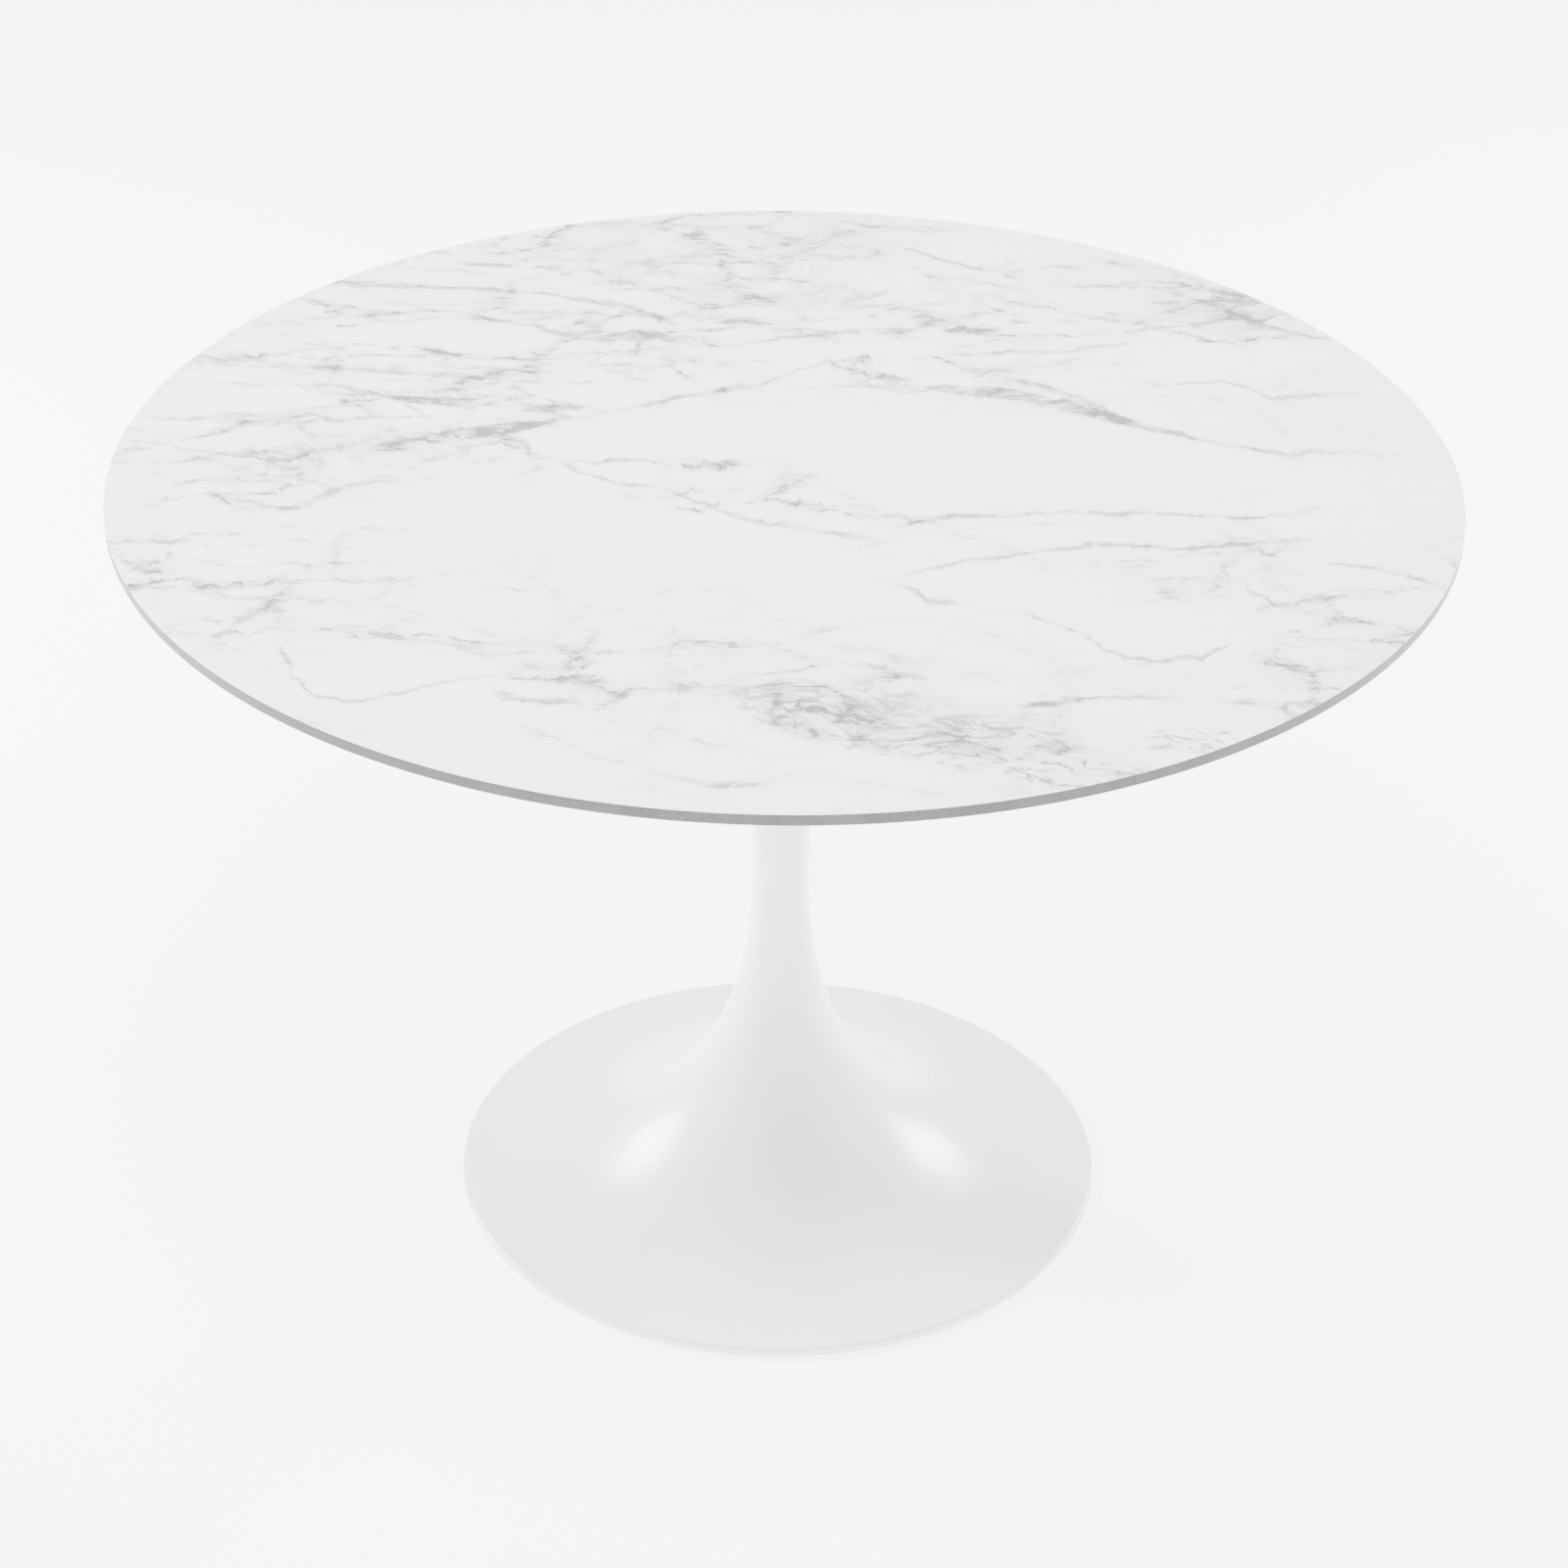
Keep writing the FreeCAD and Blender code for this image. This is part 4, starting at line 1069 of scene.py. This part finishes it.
def arc(centre: Point, radius: float, start: float, end: float, steps: int) -> list[Point]:
    """Points along an arc of a profile.

    Args:
        centre: radius and height of the arc's centre.
        radius: the arc's own radius.
        start: first angle in degrees, 0 pointing outwards and 90 upwards.
        end: last angle in degrees.
        steps: stretches of the arc.

    Returns:
        The points, both ends included.
    """
    points = []
    for index in range(steps + 1):
        angle = math.radians(start + (end - start) * index / steps)
        points.append((centre[0] + radius * math.cos(angle), centre[1] + radius * math.sin(angle)))
    return points


def cad_box(node: str) -> tuple[Vector, Vector]:
    """Lowest and highest corners of a CAD node."""
    low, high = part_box(node)
    return Vector(low), Vector(high)


@dataclass
class SubAssembly:
    """What the sub-assemblies share: they place pieces and dress CAD nodes."""

    paints: Paints

    def seat(self, piece: bpy.types.Object, node: str) -> bpy.types.Object:
        """Let a finished piece stand for a CAD node.

        Args:
            piece: the finished piece.
            node: the node that it stands for.

        Returns:
            The piece.
        """
        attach(piece, BODY)
        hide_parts(node)
        slot_of(node)
        LOG.info("%s stands for %s", piece.name, node)
        return piece

    def smooth(self, node: str, finish: str, easing: float = 0.0) -> bpy.types.Object:
        """Let a smoothly shaded copy of a CAD node stand for it.

        Args:
            node: the node's name.
            finish: the name of its plain finish.
            easing: width of the rounding on its sharp edges, or 0 for none.

        Returns:
            The piece.
        """
        shape = Shape.copied(node)
        if easing:
            shape.ease(easing)
        return self.seat(shape.finish(f"smooth_{node}", self.paints.get(finish)), node)

    def dress(self, node: str, finish: str) -> None:
        """Give a CAD node its finish.

        Args:
            node: the node's name.
            finish: the name of its plain finish.
        """
        data = frame["nodes"][node].data
        data.materials.clear()
        data.materials.append(self.paints.get(finish))
        LOG.info("%s keeps its CAD mesh", node)


def slot_of(node: str) -> str:
    """The record's material slot of a node."""
    for subpart in frame["record"]["subparts"]:
        if subpart["node"] == node:
            return subpart["material_slot"]
    raise KeyError(node)


# ------------------------------------------------------------------ sub-assemblies


@dataclass
class Tabletop(SubAssembly):
    """Marble sheet, edge band, board and backing sheet."""

    arris: float = 0.0004
    band_round: float = 0.0009

    def sheet(self) -> bpy.types.Object:
        """Decorative sheet with an eased upper arris."""
        low, high = cad_box("marble_laminate")
        radius = high.x
        corner = (radius - self.arris, high.z - self.arris)
        profile = [(0.0, low.z), (radius, low.z)]
        profile += arc(corner, self.arris, 0.0, 90.0, 3)
        profile += [(0.0, high.z)]
        shape = Shape.turned(profile, FINE_STEPS, closed=False)
        marble = self.paints.keep(Marble())
        return self.seat(shape.finish("marble_top", marble), "marble_laminate")

    def band(self) -> bpy.types.Object:
        """Edge band with a rounded lower arris."""
        low, high = cad_box("edge_band")
        inner = cad_box("top_core")[1].x
        centre = (high.x - self.band_round, low.z + self.band_round)
        profile = [(inner, high.z), (inner, low.z)]
        profile += arc(centre, self.band_round, -90.0, 0.0, 4)
        profile += [(high.x, high.z)]
        shape = Shape.turned(profile, FINE_STEPS)
        grey = self.paints.keep(EdgeGrey(low.z, high.z))
        return self.seat(shape.finish("top_edge_band", grey), "edge_band")

    def build(self) -> None:
        """Build and dress the whole top."""
        self.sheet()
        self.band()
        self.smooth("top_core", "fibreboard")
        self.smooth("balancing_sheet", "backing_sheet")
        self.dress("threaded_inserts", "machined_brass")


@dataclass
class Pedestal(SubAssembly):
    """Hollow trumpet casting in white satin paint."""

    neck_radius: float = 0.0266
    neck_z: float = 0.3328
    rim_top_z: float = 0.009
    rim_round: float = 0.0035
    rim_turn: float = 80.0
    rim_steps: int = 8
    rim_chamfer: float = 0.0006
    head_radius: float = 0.054
    head_round: float = 0.0008
    wall: float = 0.005
    rise_power: float = 0.567
    reach_power: float = 0.489
    stations: int = 56
    first_station: int = 3
    sharp_above: float = 40.0
    head_stations: int = 24
    crowding: float = 3.0
    rim_width: float = 0.019
    ledge_width: float = 0.012
    cover_seat_z: float = 0.005
    flange_height: float = 0.012
    spigot_hole: float = 0.022
    land_radius: float = 0.018
    land_height: float = 0.028
    lip_radius: float = 0.013
    lip_height: float = 0.004
    glide_groove: float = 0.0016
    glide_width: float = 0.010

    def __post_init__(self) -> None:
        """Read the outer sizes from the CAD node."""
        low, high = cad_box("pedestal_shell")
        self.foot_radius = high.x
        self.bottom_z = low.z
        self.head_z = high.z

    def flare(self, depth: float) -> list[Point]:
        """Curve from the rim up to the neck.

        Args:
            depth: how far the curve lies below the outer face.

        Returns:
            The curve's points.
        """
        span = self.foot_radius - self.neck_radius
        height = self.neck_z - self.rim_top_z
        points = [(self.foot_radius - self.rim_round, self.rim_top_z - depth)]
        for step in range(self.first_station, self.stations):
            rise = (step / self.stations) ** self.crowding
            open_part = 1.0 - rise**self.rise_power
            radius = self.neck_radius + span * open_part ** (1.0 / self.reach_power)
            fall = span / self.reach_power * open_part ** (1.0 / self.reach_power - 1.0)
            slope = -fall * self.rise_power * rise ** (self.rise_power - 1.0)
            length = math.hypot(slope, height)
            z = self.rim_top_z + rise * height
            points.append((radius - depth * height / length, z + depth * slope / length))
        return points

    def head(self, depth: float, top_z: float) -> list[Point]:
        """Parabola from the neck up to the wider head.

        Args:
            depth: how far the curve lies below the outer face.
            top_z: where the curve ends.

        Returns:
            The curve's points.
        """
        points = []
        for step in range(self.head_stations + 1):
            part = step / self.head_stations
            radius = self.neck_radius + (self.head_radius - self.neck_radius) * part**2
            points.append((radius - depth, self.neck_z + part * (top_z - self.neck_z)))
        return points

    def profile(self) -> list[Point]:
        """Closed profile of the casting: outside upwards, then inside downwards."""
        foot, low = self.foot_radius, self.bottom_z
        top_corner = (self.head_radius - self.head_round, self.head_z - self.head_round)
        outside = [(foot - self.rim_chamfer, low), (foot, low + self.rim_chamfer)]
        rim_centre = (foot - self.rim_round, self.rim_top_z - self.rim_round)
        outside += arc(rim_centre, self.rim_round, 0.0, self.rim_turn, self.rim_steps)
        outside += self.flare(0.0) + self.head(0.0, self.head_z - self.head_round)[:-1]
        outside += arc(top_corner, self.head_round, 0.0, 90.0, 3)
        ceiling = self.head_z - self.flange_height
        inside = [(self.spigot_hole, self.head_z), (self.spigot_hole, ceiling)]
        land_top = self.neck_z + self.land_height / 2
        land_low = self.neck_z - self.land_height / 2
        head = self.head(self.wall, self.head_z)
        upper = [point for point in head if land_top < point[1] < ceiling]
        inside += [(upper[-1][0], ceiling)] + upper[::-1]
        inside += [(upper[0][0], land_top), (self.land_radius, land_top)]
        lip_top = land_low + self.lip_height
        inside += [(self.land_radius, lip_top), (self.lip_radius, lip_top)]
        ledge = foot - self.rim_width - self.ledge_width
        flare = self.flare(self.wall)
        lower = [point for point in flare if point[0] < ledge and point[1] < land_low]
        inside += [(self.lip_radius, land_low), (lower[-1][0], land_low)] + lower[::-1]
        recess = foot - self.rim_width
        inside += [(ledge, lower[0][1]), (ledge, self.cover_seat_z)]
        inside += [(recess, self.cover_seat_z), (recess, low)]
        outer = cad_box("glide_ring")[1].x
        inner = outer - self.glide_width
        groove = low + self.glide_groove
        inside += [(inner, low), (inner, groove), (outer, groove), (outer, low)]
        return outside + inside

    def build(self) -> None:
        """Build the casting and dress what is inside it."""
        shape = Shape.turned(self.profile(), FINE_STEPS)
        paint = self.paints.keep(SatinPaint())
        self.seat(shape.finish("white_pedestal", paint, self.sharp_above), "pedestal_shell")
        self.smooth("neck_gasket", "black_rubber")
        self.dress("dowel_pins", "ground_steel")
        self.dress("rod_guide_bush", "natural_nylon")


@dataclass
class SpiderMount(SubAssembly):
    """Black spider under the top with its bolts and washers."""

    casting_round: float = 0.0008
    arms: int = 4
    arm_start: float = 45.0
    bolt_radii: Point = (0.165, 0.298)
    bolt_flats: float = 0.010
    head_height: float = 0.004
    head_easing: float = 0.0006
    shank_radius: float = 0.003
    bolt_smooth: float = 20.0

    def bolts(self) -> bpy.types.Object:
        """Hexagon bolts, two to each arm."""
        low, high = cad_box("spider_bolts")
        seat = low.z + self.head_height
        ring = Shape()
        for radius in self.bolt_radii:
            bolt = Shape.hexagon(self.bolt_flats, low.z, seat, self.head_easing)
            bolt.add(Shape.bar(self.shank_radius, seat, high.z, SMALL_STEPS)).joined(seat)
            bolt.moved(Matrix.Translation((radius, 0, 0)))
            ring.add(bolt.around(self.arms, self.arm_start))
        bolts = ring.finish("spider_hexagon_bolts", self.paints.get("bright_zinc"), self.bolt_smooth)
        return self.seat(bolts, "spider_bolts")

    def build(self) -> None:
        """Build and dress the spider and its hardware."""
        self.smooth("mounting_spider", "black_powder_coat", self.casting_round)
        self.bolts()
        for node in ("spider_spring_washers", "spider_washers"):
            self.smooth(node, "bright_zinc")


@dataclass
class DrawRod(SubAssembly):
    """The long rod, its nuts and washers, and the plate that it pulls up."""

    def build(self) -> None:
        """Dress the rod's pieces."""
        zinc = (
            "draw_rod", "rod_top_nut", "rod_top_washer", "rod_bottom_washer", "rod_bottom_spring_washer",
            "rod_bottom_nut",
        )
        for node in zinc:
            self.dress(node, "bright_zinc")
        self.dress("clamp_plate", "plate_steel")


@dataclass
class Foot(SubAssembly):
    """Inner frame, ballast, cover and glide ring."""

    def build(self) -> None:
        """Dress the foot's pieces."""
        for node in ("foot_frame", "ballast_ring"):
            self.dress(node, "raw_iron")
        for node in ("ballast_washers", "ballast_screws"):
            self.dress(node, "bright_zinc")
        self.smooth("base_cover_screws", "bright_zinc")
        self.smooth("base_cover", "textured_plastic")
        self.smooth("glide_ring", "pale_rubber")


# ------------------------------------------------------------------ studio


@dataclass
class Softbox:
    """One square studio lamp."""

    name: str
    place: tuple[float, float, float]
    target: tuple[float, float, float]
    size: float
    power: float

    def build(self) -> None:
        """Hang the lamp."""
        data = bpy.data.lights.new(self.name, "AREA")
        data.shape = "SQUARE"
        data.size = self.size
        data.energy = self.power
        lamp = bpy.data.objects.new(self.name, data)
        lamp.location = self.place
        aim = Vector(self.target) - Vector(self.place)
        lamp.rotation_euler = aim.to_track_quat("-Z", "Y").to_euler()
        bpy.context.scene.collection.objects.link(lamp)


@dataclass
class Studio:
    """Pale floor, even light and the camera."""

    floor_radius: float = 30.0
    world_strength: float = 1.95
    floor_glow: float = 2.7
    lens_mm: float = 92.43
    sensor_mm: float = 36.0
    camera_place: tuple[float, float, float] = (0.0022, -3.2325, 2.3252)
    pitch: float = 30.386
    roll: float = 0.63
    lamps: tuple[Softbox, ...] = (
        Softbox("left_softbox", (-3.0, 1.6, 2.0), (0.0, 0.0, 0.1), 1.3, 480.0),
        Softbox("right_softbox", (2.75, 2.3, 1.85), (0.0, 0.0, 0.1), 1.15, 330.0),
        Softbox("high_softbox", (0.0, -1.6, 4.0), (0.0, 0.0, 0.5), 1.9, 320.0),
    )

    def floor(self) -> None:
        """Lay the floor, which isn't part of the table."""
        shape = Shape()
        bmesh.ops.create_circle(shape.bm, cap_ends=True, segments=64, radius=self.floor_radius)
        graph = Graph("studio_floor")
        place = graph.place()
        tone = graph.noise(place, 2.0).fade(0.2, 0.8, 0.93, 0.95)
        colour = graph.node("ShaderNodeCombineXYZ", inputs={0: tone, 1: tone, 2: tone})
        graph.surface(
            Base_Color=colour, Roughness=0.9, Specular_IOR_Level=0.1,
            Emission_Color=(1.0, 1.0, 1.0), Emission_Strength=self.floor_glow,
        )
        graph.see_through(graph.node("ShaderNodeNewGeometry", output="Backfacing"))
        shape.finish("studio_floor", graph.material)

    def light(self) -> None:
        """Even white surroundings and the lamps."""
        world = bpy.data.worlds.new("studio")
        world.use_nodes = True
        background = world.node_tree.nodes["Background"]
        background.inputs["Color"].default_value = (1.0, 1.0, 1.0, 1.0)
        background.inputs["Strength"].default_value = self.world_strength
        bpy.context.scene.world = world
        for lamp in self.lamps:
            lamp.build()

    def camera(self) -> None:
        """Set up the camera at its view of the whole table."""
        data = bpy.data.cameras.new("camera")
        data.lens = self.lens_mm
        data.sensor_width = self.sensor_mm
        eye = bpy.data.objects.new("camera", data)
        tilt = Matrix.Rotation(math.radians(90.0 - self.pitch), 4, "X")
        lean = Matrix.Rotation(math.radians(self.roll), 4, "Z")
        eye.matrix_world = Matrix.Translation(self.camera_place) @ tilt @ lean
        bpy.context.scene.collection.objects.link(eye)
        bpy.context.scene.camera = eye

    def build(self) -> None:
        """Build the whole studio."""
        self.floor()
        self.light()
        self.camera()


def main() -> None:
    """Build the table's sub-assemblies in order, then the studio."""
    logging.basicConfig(level=logging.INFO, format="%(message)s")
    paints = Paints()
    for assembly in (Tabletop, SpiderMount, Pedestal, DrawRod, Foot):
        assembly(paints).build()
        LOG.info("%s done", assembly.__name__)
    Studio().build()


if __name__ == "__main__":
    main()
